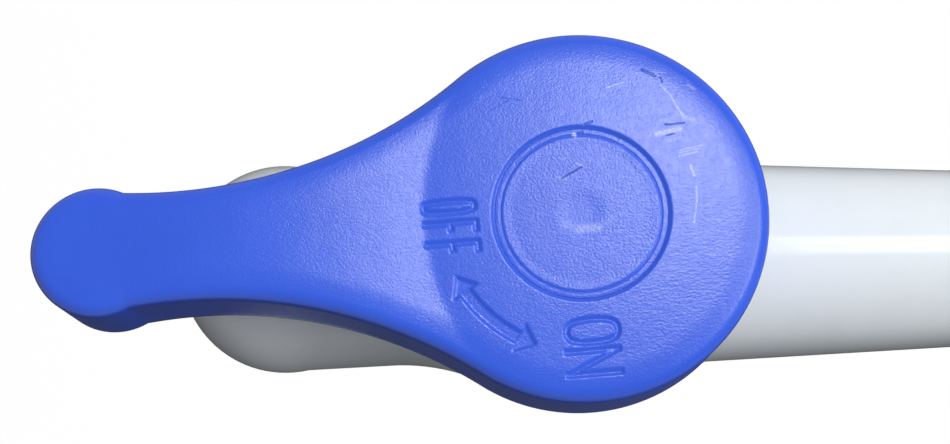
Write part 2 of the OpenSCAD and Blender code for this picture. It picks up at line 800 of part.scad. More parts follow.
arm_faces = [
    for (i = [0 : rows - 2])
        for (k = [0 : columns - 1])
            let (a = cell(i, k), b = cell(i, k + 1), c = cell(i + 1, k + 1), d = cell(i + 1, k))
            each (i == rows - 2 ? [[d, b, a]] : [[c, b, a], [d, c, a]])
];
hub_face = concat(
    [for (k = [0 : columns]) cell(0, k)],
    [for (i = [hub_rows - 1 : -1 : 0]) top_ring + rows + i]
);
wall_faces = [
    for (k = [0 : edge_steps])
        for (i = [0 : loop_len - 1])
            let (
                j = (i + 1) % loop_len,
                a = k * loop_len + i, b = k * loop_len + j,
                c = (k + 1) * loop_len + j, d = (k + 1) * loop_len + i
            )
            each (k == 0 ? [[a, d, c, b]] : [[a, d, c], [a, c, b]])
];

module lever_skin() {
    polyhedron(
        points = skin_points,
        faces = concat([[for (i = [0 : loop_len - 1]) i]], wall_faces, arm_faces, [hub_face])
    );
}

// Engraved letters, drawn flat around their own middle. Reading runs along +Y and the tops of
// the letters point to the spindle's far side, along -X.
module letter_o(w) {
    difference() {
        rounded_box(letter_h, w);
        rounded_box(letter_h - 2 * letter_stroke, w - 2 * letter_stroke);
    }
}

module rounded_box(l, w) {
    r = w / 2;
    square([l - w, w], center = true);
    for (s = [1, -1]) translate([s * (l - w) / 2, 0]) circle(r = r);
}

module letter_f(w) {
    translate([-letter_h / 2, -w / 2]) square([letter_h, letter_stroke]);
    translate([-letter_h / 2, -w / 2]) square([letter_stroke, w]);
    translate([-letter_stroke / 2, -w / 2]) square([letter_stroke, w * 0.85]);
}

module letter_n(w) {
    for (s = [-1, 1])
        translate([-letter_h / 2, s * (w - letter_stroke) / 2 - letter_stroke / 2])
            square([letter_h, letter_stroke]);
    polygon([
        [-letter_h / 2, -w / 2], [-letter_h / 2, -w / 2 + letter_stroke * 1.2],
        [letter_h / 2, w / 2], [letter_h / 2, w / 2 - letter_stroke * 1.2]
    ]);
}

module arrow_head(at_a, sense) {
    tail = arrow_reach * [cos(at_a), sin(at_a)];
    side = arrow_head_w / 2 * [cos(at_a), sin(at_a)];
    tip = arrow_reach * [cos(at_a + sense * arrow_head_a), sin(at_a + sense * arrow_head_a)];
    polygon([tail - side, tail + side, tip]);
}

module arrow() {
    low_a = arrow_from_a + arrow_head_a;
    high_a = arrow_to_a - arrow_head_a;
    far = 2 * arrow_reach;
    intersection() {
        difference() {
            circle(r = arrow_reach + arrow_w / 2, $fn = 180);
            circle(r = arrow_reach - arrow_w / 2, $fn = 180);
        }
        polygon([[0, 0], far * [cos(low_a), sin(low_a)], far * [cos(high_a), sin(high_a)]]);
    }
    arrow_head(low_a, -1);
    arrow_head(high_a, 1);
}

module marks() {
    pitch_off = off_w + letter_gap;
    translate([word_reach, 0]) {
        translate([0, -pitch_off]) letter_o(off_w);
        letter_f(off_w);
        translate([0, pitch_off]) letter_f(off_w);
    }
    translate([0, word_reach]) {
        translate([0, -(on_w + letter_gap) / 2]) letter_o(on_w);
        translate([0, (on_w + letter_gap) / 2]) letter_n(on_w);
    }
    arrow();
}

// A rib from the boss out to the hub's wall, pointing away from the lever's arm by an angle
module hub_rib(a) {
    rotate([0, 0, a]) translate([boss_d / 2 - 0.5, -rib_t / 2, rib_base])
        cube([hub_r - lever_wall / 2 - boss_d / 2 + 0.5, rib_t, lever_ceiling - rib_base + 0.5]);
}

// Ribs inside the arm: one along it and three across
module arm_ribs() {
    rib_drop = skirt_depth - 5;
    intersection() {
        lever_prism(lever_wall / 2);
        under_top(lever_top_t - 0.5, lever_top - rib_drop);
        union() {
            translate([hub_r - lever_wall, -rib_t / 2, 0])
                cube([lever_reach - hub_r + lever_wall, rib_t, lever_top + skirt_depth]);
            for (x = [hub_r + 5, (hub_r + 5 + lever_reach) / 2, lever_reach])
                translate([x - rib_t / 2, -hub_r, 0]) cube([rib_t, hub_d, lever_top + skirt_depth]);
        }
    }
}

module lever_prism(margin) {
    linear_extrude(lever_top + skirt_depth) lever_outline(margin);
}

module lever_shell() {
    difference() {
        lever_skin();
        under_top(skirt_depth, 0);
        intersection() {
            lever_prism(lever_wall);
            under_top(lever_top_t, 0);
        }
    }
    // Boss for the stem's square and the cup under the screw's head
    translate([0, 0, boss_base]) cylinder(d = boss_d, h = lever_ceiling - boss_base + 0.5);
    translate([0, 0, web_top - pocket_floor_t])
        cylinder(r = pocket_r + pocket_wall, h = lever_ceiling - web_top + pocket_floor_t + 0.5);
    // Two ribs meet the stop lug, and two more only stiffen the hub
    for (a = [180 + stop_rib_a, 180 - lever_travel - stop_rib_a]) hub_rib(a);
    for (a = [-45, -105]) hub_rib(a);
    arm_ribs();
}

module lever() {
    socket_w = square_w + 2 * square_gap;
    color(blue) at_lever() rotate([0, 0, 180]) difference() {
        lever_shell();
        translate([0, 0, cap_base]) cylinder(r = recess_r, h = lever_top);
        translate([0, 0, web_top]) cylinder(r = pocket_r, h = lever_top);
        translate([-socket_w / 2, -socket_w / 2, boss_base - over])
            cube([socket_w, socket_w, socket_len + over]);
        translate([0, 0, boss_base]) cylinder(r = screw_d / 2 + 0.2, h = lever_top);
        translate([0, 0, lever_top - mark_depth]) linear_extrude(lever_top) marks();
    }
}

module lever_screw() {
    head_base = web_top + screw_washer_t;
    slot_w = 1;
    slot_l = screw_head_d * 0.62;
    color(steel) at_lever() difference() {
        union() {
            translate([0, 0, head_base]) cylinder(d = screw_head_d, h = screw_head_h - 0.6);
            translate([0, 0, head_base + screw_head_h - 0.6])
                cylinder(d1 = screw_head_d, d2 = screw_head_d - 2, h = 0.6);
            translate([0, 0, head_base - screw_len]) cylinder(d = screw_d, h = screw_len);
        }
        for (a = [45, 135])
            rotate([0, 0, a]) translate([-slot_l / 2, -slot_w / 2, head_base + screw_head_h - 1.1])
                cube([slot_l, slot_w, 2]);
    }
}

module screw_washer() {
    color(steel) at_lever()
        ring(screw_washer_d / 2, screw_d / 2 + 0.1, web_top, web_top + screw_washer_t);
}

module lever_cap() {
    snap_r = pocket_r - cap_gap;
    color(blue) at_lever() difference() {
        union() {
            translate([0, 0, cap_base]) cylinder(r = cap_r, h = cap_t - cap_bevel);
            translate([0, 0, cap_top - cap_bevel])
                cylinder(r1 = cap_r, r2 = cap_face_r, h = cap_bevel);
            translate([0, 0, cap_base - snap_depth]) cylinder(r = snap_r, h = snap_depth);
        }
        translate([0, 0, cap_base - snap_depth - over])
            cylinder(r = snap_r - snap_wall, h = snap_depth + over);
        translate([0, 0, cap_top - cap_dish + dish_r]) sphere(r = dish_r, $fn = 180);
    }
}

// Aerator pieces hang along the spout's axis
module at_spout() {
    at_spindle() translate([-spout_reach, 0, 0]) children();
}

module aerator_ring() {
    color(white) at_spout() difference() {
        translate([0, 0, -ring_base])
            cylinder(r1 = aerator_d / 2, r2 = spout_mouth_r, h = ring_base - ring_top);
        translate([0, 0, -insert_flange_base])
            cylinder(r = ring_bore_r, h = insert_flange_base);
        translate([0, 0, -ring_base - over]) cylinder(d = aerator_mouth_d, h = ring_base);
    }
}

module aerator_washer() {
    color(seal) at_spout()
        ring(mouth_thread_r - fit_gap, aerator_washer_hole_d / 2, -aerator_washer_base, -mouth_end);
}

module aerator_mesh() {
    color(steel) at_spout() difference() {
        translate([0, 0, -aerator_washer_base])
            cylinder(d = aerator_washer_hole_d - 0.2, h = mesh_t);
        hex_holes(mesh_hole_d / 2, mesh_pitch, 4, -aerator_washer_base - over, -mouth_end);
    }
}

// Round holes in a six-sided pattern around Z
module hex_holes(hole_r, pitch, rings, low, high) {
    for (i = [-rings : rings])
        for (j = [max(-rings, -rings - i) : min(rings, rings - i)])
            translate([pitch * (i + j / 2), pitch * j * sqrt(3) / 2, low])
                cylinder(r = hole_r, h = high - low, $fn = 24);
}

module aerator_insert() {
    insert_r = aerator_mouth_d / 2 - 0.15;
    color(white) at_spout() difference() {
        union() {
            translate([0, 0, -insert_flange_base])
                cylinder(r = ring_bore_r - 0.1, h = insert_flange_t);
            translate([0, 0, -ring_base + 0.3])
                cylinder(r = insert_r, h = ring_base - insert_flange_base);
        }
        hex_holes(insert_hole_d / 2, insert_pitch, 2, -ring_base - over, -mouth_end);
    }
}

module hose_washer() {
    color(seal) at_spindle()
        ring(hose_thread_r - 0.3, hose_washer_hole_d / 2, -hose_washer_base, -hose_thread_end);
}

// Section of the hose tail: flange, neck and barbs, turned about Z
module tail_section() {
    barb_r = tail_barb_d / 2;
    root_r = tail_root_d / 2;
    flange_r = hose_thread_r - 0.3;
    barbs = [
        for (i = [0 : tail_barbs - 1])
            let (top = -tail_neck_end - i * tail_pitch)
            each [
                [root_r, top], [root_r, top - tail_step], [barb_r, top - tail_step],
                [barb_r, top - tail_step - tail_land]
            ]
    ];
    polygon(concat(
        [
            [0, -hose_washer_base], [flange_r, -hose_washer_base], [flange_r, -tail_flange_base],
            [tail_neck_r, -tail_flange_base], [tail_neck_r, -tail_neck_end]
        ],
        barbs,
        [[root_r, -tail_end], [0, -tail_end]]
    ));
}

module hose_tail() {
    color(white) at_spindle() difference() {
        rotate_extrude() tail_section();
        translate([0, 0, -tail_end - over])
            cylinder(d = tail_bore_d, h = tail_end - hose_washer_base + 2 * over);
    }
}

module hose_nut() {
    nut_r = hose_nut_d / 2;
    groove_r = 1.2;
    groove_depth = 0.5;
    color(white) at_spindle() difference() {
        translate([0, 0, -hose_nut_base]) cylinder(r = nut_r, h = hose_nut_base - hose_nut_top);
        translate([0, 0, -tail_flange_base]) cylinder(r = hose_nut_bore_r, h = tail_flange_base);
        translate([0, 0, -hose_nut_base - over]) cylinder(r = tail_neck_r + 0.15, h = hose_nut_base);
        for (i = [0 : hose_nut_grooves - 1])
            rotate([0, 0, 360 * i / hose_nut_grooves])
                translate([nut_r + groove_r - groove_depth, 0, -hose_nut_base - over])
                    cylinder(r = groove_r, h = hose_nut_base, $fn = 24);
    }
}

tap_body();
inlet_barrel();
barrel_oring();
seat_carrier();
inlet_seat();
spout_seat();
lower_seat();
ball();
stem();
stem_oring_lower();
stem_oring_upper();
thrust_washer();
gland_nut();
lever();
lever_screw();
screw_washer();
lever_cap();
aerator_ring();
aerator_washer();
aerator_mesh();
aerator_insert();
hose_washer();
hose_tail();
hose_nut();
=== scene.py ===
# %% [markdown]
# # A moulded lever tap
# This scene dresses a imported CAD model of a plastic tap: a blue lever over a white body, with a
# turned-down spout at the left and a hose tail underneath. Everything is in metres and in the
# CAD's own frame: +X runs out of the inlet thread, +Z up along the spindle, and the origin lies on
# the thread's shoulder. The solids say where each piece is. The scene gives them their surfaces.

# %% Load the frame
import json
import math
import bmesh
import bpy
import numpy as np
from mathutils import Matrix


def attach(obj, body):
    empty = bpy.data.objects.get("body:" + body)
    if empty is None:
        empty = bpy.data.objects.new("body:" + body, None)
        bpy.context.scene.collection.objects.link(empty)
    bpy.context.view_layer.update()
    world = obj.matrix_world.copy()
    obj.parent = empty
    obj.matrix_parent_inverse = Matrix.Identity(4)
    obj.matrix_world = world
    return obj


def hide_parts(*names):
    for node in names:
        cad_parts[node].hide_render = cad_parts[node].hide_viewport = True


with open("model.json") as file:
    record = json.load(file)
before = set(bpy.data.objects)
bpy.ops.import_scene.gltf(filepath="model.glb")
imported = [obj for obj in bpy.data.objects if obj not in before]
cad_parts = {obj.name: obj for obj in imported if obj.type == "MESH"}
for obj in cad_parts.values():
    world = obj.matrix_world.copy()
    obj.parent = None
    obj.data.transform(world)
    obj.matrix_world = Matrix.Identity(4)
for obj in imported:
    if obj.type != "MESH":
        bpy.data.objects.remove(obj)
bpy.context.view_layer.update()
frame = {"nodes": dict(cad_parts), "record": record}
MM = 0.001

# %% [markdown]
# ## The camera
# The tap was seen from almost straight above, from less than a quarter of a metre away, so the
# lever is drawn larger than the tube below it. Such a view is described by where it looks, from
# which direction and how far, and by a focal length in pixels, which Blender wants as a lens.
# The picture's centre isn't quite the optical centre, and a small upward shift says that.

# %% Camera
PICTURE_WIDTH = 950
VIEW_AZIMUTH = math.radians(0.0)
VIEW_ELEVATION = math.radians(79.13)
VIEW_ROLL = math.radians(-0.93)
VIEW_DISTANCE = 226.9
FOCAL_PIXELS = 1618.7
LOOK_AT = (-83.02, -2.22, 0.0)
SHIFT_PIXELS = 60


def view_matrix(azimuth, elevation, roll, distance, target):
    """Camera axes: forward points down along the view, right is level, and both turn by the roll.
    The camera stands one distance behind the point it looks at."""
    forward = np.array([-math.sin(azimuth) * math.cos(elevation),
                        math.cos(azimuth) * math.cos(elevation), -math.sin(elevation)])
    level = np.cross(forward, [0, 0, 1])
    level /= np.linalg.norm(level)
    upward = np.cross(level, forward)
    right = math.cos(roll) * level + math.sin(roll) * upward
    up = math.cos(roll) * upward - math.sin(roll) * level
    place = (np.array(target) - forward * distance) * MM
    rows = np.column_stack([right, up, -forward, place])
    return Matrix([list(row) for row in rows] + [[0, 0, 0, 1]])


scene = bpy.context.scene
camera_data = bpy.data.cameras.new("camera")
camera_data.sensor_fit = "HORIZONTAL"
camera_data.lens = FOCAL_PIXELS / PICTURE_WIDTH * camera_data.sensor_width
camera_data.shift_y = SHIFT_PIXELS / PICTURE_WIDTH
camera_data.clip_start = 0.01
camera = bpy.data.objects.new("camera", camera_data)
camera.matrix_world = view_matrix(
    VIEW_AZIMUTH, VIEW_ELEVATION, VIEW_ROLL, VIEW_DISTANCE, LOOK_AT)
scene.collection.objects.link(camera)
scene.camera = camera
scene.view_settings.view_transform = "Standard"
print("lens", round(camera_data.lens, 2), "mm")

# %% [markdown]
# ## Materials as nodes
# A material is a small network. One function adds a node, sets its values and links its inputs,
# so that every material below reads as a list of steps. Colours are written as the hex values
# that a screen shows, and one function turns them into the linear values that light is summed in.

# %% Node helper
def linear(hex_colour):
    """sRGB to linear: small values are divided by 12.92, the rest follow a power of 2.4."""
    value = int(hex_colour.lstrip("#"), 16)
    channels = np.array([value >> 16 & 255, value >> 8 & 255, value & 255]) / 255
    low = channels / 12.92
    high = ((channels + 0.055) / 1.055) ** 2.4
    return [float(c) for c in np.where(channels <= 0.04045, low, high)] + [1.0]


def add_node(tree, kind, settings=None, **inputs):
    """Adds a node. Settings are its own properties. Inputs are values, or sockets to link, and
    an input's number stands behind an underscore where its name is used twice."""
    node = tree.nodes.new(kind)
    for name, value in (settings or {}).items():
        setattr(node, name, value)
    for name, value in inputs.items():
        key = int(name[1:]) if name[0] == "_" else name.replace("_", " ")
        if isinstance(value, bpy.types.NodeSocket):
            tree.links.new(value, node.inputs[key])
        else:
            node.inputs[key].default_value = value
    return node


def new_material(name):
    """An empty material with its output node. Returns the material, its tree and the output."""
    material = bpy.data.materials.new(name)
    material.use_nodes = True
    tree = material.node_tree
    tree.nodes.clear()
    return material, tree, tree.nodes.new("ShaderNodeOutputMaterial")


def object_place(tree, stretch=(1, 1, 1)):
    """Object coordinates, stretched. They are in metres, as the mesh is."""
    place = add_node(tree, "ShaderNodeTexCoord").outputs["Object"]
    return add_node(tree, "ShaderNodeMapping", Vector=place, Scale=stretch).outputs[0]


def math_node(tree, operation, first, second=0.0, third=0.0):
    """One sum on two or three values."""
    return add_node(tree, "ShaderNodeMath", {"operation": operation}, _0=first, _1=second,
                    _2=third).outputs[0]


def noise(tree, place, size_mm, detail=2.0, roughness=0.5):
    """Soft noise whose lumps are about size_mm across."""
    return add_node(tree, "ShaderNodeTexNoise", Vector=place, Scale=1 / (size_mm * MM),
                    Detail=detail, Roughness=roughness).outputs["Fac"]


def remap(tree, value, low, high, to_low, to_high):
    """Stretches the range from low to high onto to_low to to_high, clamped."""
    return add_node(tree, "ShaderNodeMapRange", _0=value, _1=low, _2=high, _3=to_low,
                    _4=to_high).outputs[0]


def blend_colours(tree, amount, first, second):
    """Mixes two colours by an amount from 0 to 1."""
    return add_node(tree, "ShaderNodeMix", {"data_type": "RGBA"}, _0=amount, _6=first,
                    _7=second).outputs[2]


print("mid grey gives off", round(linear("#808080")[0], 3), "of white's light")

# %% [markdown]
# ## White moulded plastic
# The body and the barrel are injection-moulded in a cold white. The mould was polished, so the
# skin is glossy, with the faint waviness that thick plastic gets as it shrinks. A little grey
# dust dulls the gloss in soft patches of about a centimetre.

# %% White gloss plastic
def white_gloss_plastic(name):
    """Two close whites and two bumps: soft waves and a skin too fine to see as lumps."""
    material, tree, output = new_material(name)
    place = object_place(tree)
    dust = remap(tree, noise(tree, place, 9, detail=4, roughness=0.62), 0.45, 0.75, 0, 0.6)
    skin = blend_colours(tree, dust, linear("#E7EEF3"), linear("#DEE6EC"))
    roughness = remap(tree, dust, 0, 0.6, 0.12, 0.22)
    waves = add_node(tree, "ShaderNodeBump", Height=noise(tree, place, 7, detail=1),
                     Strength=0.2, Distance=0.05 * MM)
    fine = add_node(tree, "ShaderNodeBump", Height=noise(tree, place, 0.35, detail=2),
                    Strength=0.15, Distance=0.005 * MM, Normal=waves.outputs[0])
    shader = add_node(tree, "ShaderNodeBsdfPrincipled", Base_Color=skin, Roughness=roughness,
                      IOR=1.46, Normal=fine.outputs[0])
    tree.links.new(shader.outputs[0], output.inputs["Surface"])
    return material


white_plastic = white_gloss_plastic("white_abs_polished_mould")
print(white_plastic.name, len(white_plastic.node_tree.nodes), "nodes")

# %% [markdown]
# ## Where the lever was knocked, and painted light on its marks
# The hub has pale rubs and a few cuts on the side that sticks out furthest, and the cap has a few
# rubs and cuts too. A pale arc by the cap's dimple is a painted highlight, listed like a rub, and
# the cuts' darker colour is painted shade. They are lines with a width, listed as start, end,
# width and strength in millimetres in the lever's own frame, whose origin is the spindle and
# whose +X points to the arm's tip. A shader can measure how far a point is from a line, so the
# marks stay crisp however coarse the mesh is.

# %% Rubs and cuts
SPINDLE_X, REST_TURN = -70.0, 4.0
HUB_RUBS = [(-4.6, -15.4, -6.8, -15.9, 0.16, 0.9), (-11.2, -15.2, -12.3, -13.8, 0.18, 0.7),
            (-12.3, -13.8, -12.9, -12.3, 0.2, 0.9), (-12.9, -12.3, -13.7, -10.8, 0.24, 0.9),
            (-13.7, -10.8, -14.8, -10.4, 0.5, 0.6), (-10.8, -10.8, -12.5, -10.2, 0.45, 0.35),
            (-10.1, -9.0, -13.0, -9.4, 0.62, 0.85), (-11.3, -8.0, -12.9, -8.3, 0.4, 0.3),
            (-12.7, -6.7, -15.4, -7.1, 0.24, 0.65), (-12.6, -6.4, -15.2, -6.75, 0.2, 0.65),
            (-12.5, -6.0, -14.8, -6.35, 0.2, 0.75), (-13.7, -8.6, -14.0, -7.4, 0.3, 0.3),
            (-13.8, -4.7, -14.1, -3.4, 0.36, 0.9), (-14.2, -2.0, -14.1, -0.2, 0.24, 0.75),
            (-14.1, -0.2, -13.4, 2.5, 0.2, 0.6), (-14.6, -14.9, -15.3, -14.3, 0.4, 0.25),
            (-10.0, -17.0, -12.0, -16.7, 0.14, 0.35), (-10.7, -16.6, -11.4, -16.3, 0.2, 0.5)]
HUB_CUTS = [(-9.2, -17.3, -10.7, -16.4, 0.26, 0.8), (-11.3, -16.3, -11.5, -15.5, 0.16, 0.5),
            (-11.3, -10.1, -13.6, -10.1, 0.16, 0.7), (-11.3, -8.7, -12.2, -8.9, 0.14, 0.7),
            (-1.4, -10.95, -2.4, -11.25, 0.24, 0.8), (8.5, -15.3, 6.0, -14.7, 0.14, 0.15),
            (9.9, -13.8, 7.4, -14.9, 0.14, 0.15)]
# The cap's last three strokes are not rubs: together they are a painted highlight, the pale arc
# along the dimple's lower lip.
CAP_RUBS_AND_PAINTED_HIGHLIGHT = [(2.5, -4.7, 1.4, -4.4, 0.3, 0.35), (0.0, -6.2, -0.9, -5.8, 0.26, 0.3),
            (0.0, -9.9, -0.15, -9.75, 0.4, 1.0), (2.2, 1.3, 0.4, 1.95, 0.8, 0.16),
            (0.4, 1.95, -1.9, 1.95, 0.9, 0.42), (-1.9, 1.95, -3.7, 1.0, 0.8, 0.14)]
CAP_CUTS = [(1.9, -4.5, -0.6, -5.7, 0.17, 0.9), (-0.5, -9.95, -1.1, -10.05, 0.22, 0.8)]


def lever_place(tree):
    """Object coordinates in the lever's own frame and in millimetres."""
    place = add_node(tree, "ShaderNodeTexCoord").outputs["Object"]
    return add_node(tree, "ShaderNodeMapping", {"vector_type": "TEXTURE"}, Vector=place,
                    Location=(SPINDLE_X * MM, 0, 0), Scale=(MM, MM, 1),
                    Rotation=(0, 0, math.radians(180 + REST_TURN))).outputs[0]


def line_marks(tree, place, lines):
    """How much of a mark covers each point. The nearest point of a line is its start plus a
    share of its length, held between 0 and 1. A mark is full over the middle half of its width
    and fades towards both sides."""
    covered = 0.0
    for x0, y0, x1, y1, width, strength in lines:
        along = np.array([x1 - x0, y1 - y0, 0])
        share = tuple(along / (along @ along))
        from_start = add_node(tree, "ShaderNodeVectorMath", {"operation": "SUBTRACT"}, _0=place,
                              _1=(x0, y0, 0)).outputs[0]
        t = add_node(tree, "ShaderNodeVectorMath", {"operation": "DOT_PRODUCT"}, _0=from_start,
                     _1=share).outputs["Value"]
        held = add_node(tree, "ShaderNodeClamp", Value=t).outputs[0]
        nearest = add_node(tree, "ShaderNodeVectorMath", {"operation": "SCALE"},
                           _0=tuple(along), _3=held).outputs[0]
        away = add_node(tree, "ShaderNodeVectorMath", {"operation": "DISTANCE"}, _0=from_start,
                        _1=nearest).outputs["Value"]
        mark = remap(tree, away, 0.25 * width, 0.8 * width, strength, 0)
        covered = math_node(tree, "MAXIMUM", covered, mark)
    return covered


print("rubs:", len(HUB_RUBS) + len(CAP_RUBS_AND_PAINTED_HIGHLIGHT), "cuts:", len(HUB_CUTS) + len(CAP_CUTS))

# %% [markdown]
# ## Blue satin plastic
# The lever is polypropylene from a spark-eroded mould: its skin has a fine leathery grain, about
# a quarter of a millimetre from lump to lump, and a satin sheen. The grain is made of bumps
# alone, because the plastic is one colour all through. Where the plastic flowed in last, behind
# the hub, the grain is drawn out into short ripples. Rubs are paler and rougher. On the cap, a
# pale arc along the dimple's lower lip is a painted highlight, drawn like a rub. Cuts are small
# furrows, and their darker colour is painted shade.

# %% Blue satin plastic
BEHIND_HUB = (-0.5, 0.86, 0)


def blue_satin_plastic(name, rubs_and_highlight, cuts, grain_mm, grain_height):
    """Stacks four bumps, each on the one before: waves, grain, pits and drawn ripples. The
    ripples grow with the distance behind the hub. Then come the pale marks, which on the cap
    include a painted highlight, and the cuts, whose darker colour is painted shade."""
    material, tree, output = new_material(name)
    place = object_place(tree)
    own_place = lever_place(tree)
    tint = remap(tree, noise(tree, place, 14, detail=3), 0.35, 0.7, 0, 1)
    skin = blend_colours(tree, tint, linear("#2458E0"), linear("#1F52DA"))
    grain = noise(tree, place, grain_mm, detail=1)
    pits = noise(tree, place, 0.7, detail=2, roughness=0.6)
    drawn = noise(tree, object_place(tree, stretch=(0.5, 1, 1)), 0.32, detail=1)
    behind = add_node(tree, "ShaderNodeVectorMath", {"operation": "DOT_PRODUCT"}, _0=own_place,
                      _1=BEHIND_HUB).outputs["Value"]
    drawn_share = remap(tree, behind, 3, 13, 0, 0.8)
    waves = noise(tree, place, 5, detail=2)
    bump = add_node(tree, "ShaderNodeBump", Height=waves, Strength=1.0, Distance=0.03 * MM)
    bump = add_node(tree, "ShaderNodeBump", Height=grain, Strength=0.6,
                    Distance=grain_height * MM, Normal=bump.outputs[0])
    bump = add_node(tree, "ShaderNodeBump", Height=pits, Strength=0.5, Distance=0.008 * MM,
                    Normal=bump.outputs[0])
    bump = add_node(tree, "ShaderNodeBump", Height=drawn, Strength=drawn_share,
                    Distance=0.014 * MM, Normal=bump.outputs[0])
    roughness = remap(tree, pits, 0.3, 0.7, 0.21, 0.25)
    broken = remap(tree, noise(tree, place, 0.25, detail=3, roughness=0.7), 0.4, 0.6, 0.3, 1)
    # Pale marks: real rubs, and on the cap a painted highlight along the dimple's lower lip.
    rub_and_highlight_cover = math_node(tree, "MULTIPLY", line_marks(tree, own_place, rubs_and_highlight), broken)
    skin = blend_colours(tree, rub_and_highlight_cover, skin, linear("#D8E0FF"))
    roughness = math_node(tree, "MULTIPLY_ADD", rub_and_highlight_cover, 0.2, roughness)
    furrow_and_painted_shade = line_marks(tree, own_place, cuts)
    bump = add_node(tree, "ShaderNodeBump", {"invert": True}, Height=furrow_and_painted_shade, Strength=1.0,
                    Distance=0.07 * MM, Normal=bump.outputs[0])
    # The cuts' darker colour is painted shade in their furrows; the furrow itself is the bump above.
    skin = blend_colours(tree, furrow_and_painted_shade, skin, linear("#2149BE"))
    shader = add_node(tree, "ShaderNodeBsdfPrincipled", Base_Color=skin, Roughness=roughness,
                      IOR=1.49, Normal=bump.outputs[0])
    tree.links.new(shader.outputs[0], output.inputs["Surface"])
    return material


blue_plastic = blue_satin_plastic("blue_polypropylene_spark_eroded", HUB_RUBS, HUB_CUTS,
                                  grain_mm=0.24, grain_height=0.025)
blue_cap_plastic = blue_satin_plastic("blue_polypropylene_cap_painted_highlight", CAP_RUBS_AND_PAINTED_HIGHLIGHT, CAP_CUTS,
                                      grain_mm=0.25, grain_height=0.038)
print(blue_plastic.name, len(blue_plastic.node_tree.nodes), "nodes")

# %% [markdown]
# ## The plain inner materials
# Inside, the ball is smooth hard plastic, its seats are soft white fluoroplastic, the stem is
# uncoloured acetal, the seals are black rubber, and the screw is stainless steel. They share one
# recipe: two close shades in soft patches, a fine bump, and their own gloss.

# %% Inner materials
def mottled(name, light_hex, dark_hex, size_mm, roughness, bump_mm, metallic=0.0, ior=1.5,
            stretch=(1, 1, 1)):
    """Two close shades in patches of size_mm, with a bump at a fifth of that size."""
    material, tree, output = new_material(name)
    place = object_place(tree, stretch=stretch)
    patches = remap(tree, noise(tree, place, size_mm, detail=3), 0.35, 0.65, 0, 1)
    skin = blend_colours(tree, patches, linear(light_hex), linear(dark_hex))
    bump = add_node(tree, "ShaderNodeBump", Height=noise(tree, place, size_mm / 5, detail=2),
                    Strength=0.4, Distance=bump_mm * MM)
    shader = add_node(tree, "ShaderNodeBsdfPrincipled", Base_Color=skin, Roughness=roughness,
                      Metallic=metallic, IOR=ior, Normal=bump.outputs[0])
    tree.links.new(shader.outputs[0], output.inputs["Surface"])
    return material


acetal = mottled("acetal_natural", "#E3DFCF", "#D8D3C0", 4, 0.38, 0.01, ior=1.48)
ball_plastic = mottled("acetal_ball_polished", "#DCDEDA", "#D2D5D2", 6, 0.12, 0.004, ior=1.48)
seat_plastic = mottled("fluoroplastic_seat", "#F0F0EA", "#E6E6E0", 3, 0.5, 0.01, ior=1.38)
rubber = mottled("nitrile_rubber_moulded", "#1A1A1C", "#242427", 2, 0.55, 0.015, ior=1.52)
steel = mottled("stainless_steel_turned", "#C2C4C6", "#AFB2B5", 1.5, 0.28, 0.006, metallic=1.0,
                stretch=(1, 1, 0.15))
print("materials:", len(bpy.data.materials))

# %% [markdown]
# ## Meshes from whole arrays
# Every new surface is a set of loops with the same number of points, joined by four-cornered
# faces. The arrays are in millimetres and are scaled once, when they go into the mesh. A closed
# shell's signed volume tells whether its faces point outwards, so a shell that came out inside
# out is simply turned.

# %% Mesh helpers
SHARP_DEGREES = 40


def strip(first, second, closed=True):
    """Four-cornered faces between two loops of vertex numbers."""
    first, second = np.asarray(first), np.asarray(second)
    if closed:
        return np.column_stack([first, np.roll(first, -1), np.roll(second, -1), second])
    return np.column_stack([first[:-1], first[1:], second[1:], second[:-1]])


def signed_volume(points, faces):
    """A sixth of the summed triple products of each face's two triangles."""
    a, b, c, d = (points[faces[:, k]] for k in range(4))
    return float((np.einsum("ij,ij->i", a, np.cross(b, c))
                  + np.einsum("ij,ij->i", a, np.cross(c, d))).sum() / 6)


def outward(points, faces):
    """The faces as they are, or turned round where the volume comes out negative."""
    return faces if signed_volume(points, faces) > 0 else faces[:, ::-1]


def mesh_object(name, points, faces, material):
    """Builds one object from arrays. Points that coincide become one, and a face that has the
    same corner twice becomes a triangle or, with fewer than three corners left, goes."""
    _, first, number = np.unique(np.round(points, 5), axis=0, return_index=True,
                                 return_inverse=True)
    points, faces = np.asarray(points)[first], number.ravel()[faces]
    repeated = np.column_stack([faces[:, k] == faces[:, (k + 1) % 4] for k in range(4)])
    keep = ~repeated
    faces, keep = faces[keep.sum(1) >= 3], keep[keep.sum(1) >= 3]
    corners, counts = faces[keep], keep.sum(1)
    mesh = bpy.data.meshes.new(name)
    mesh.vertices.add(len(points))
    mesh.vertices.foreach_set("co", (np.asarray(points) * MM).astype(np.float32).ravel())
    mesh.loops.add(len(corners))
    mesh.loops.foreach_set("vertex_index", corners.astype(np.int32))
    mesh.polygons.add(len(counts))
    mesh.polygons.foreach_set("loop_start", (np.cumsum(counts) - counts).astype(np.int32))
    mesh.update(calc_edges=True)
    mesh.polygons.foreach_set("use_smooth", np.ones(len(counts), bool))
    mesh.set_sharp_from_angle(angle=math.radians(SHARP_DEGREES))
    mesh.materials.append(material)
    piece = bpy.data.objects.new(name, mesh)
    scene.collection.objects.link(piece)
    print(name, len(points), "points", int((counts - 2).sum()), "triangles")
    return piece


def dress(piece, body, slot, *nodes):
    """Hands a finished piece to its body and hides the solids it stands for. The slot is not used.
    """
    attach(piece, body)
    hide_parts(*nodes)

# %% [markdown]
# ## Profiles carried round an axis
# Turned pieces and tubes are profiles carried round. A sharp corner catches no light, and a real
# one always does, so a profile's corners are rounded first.

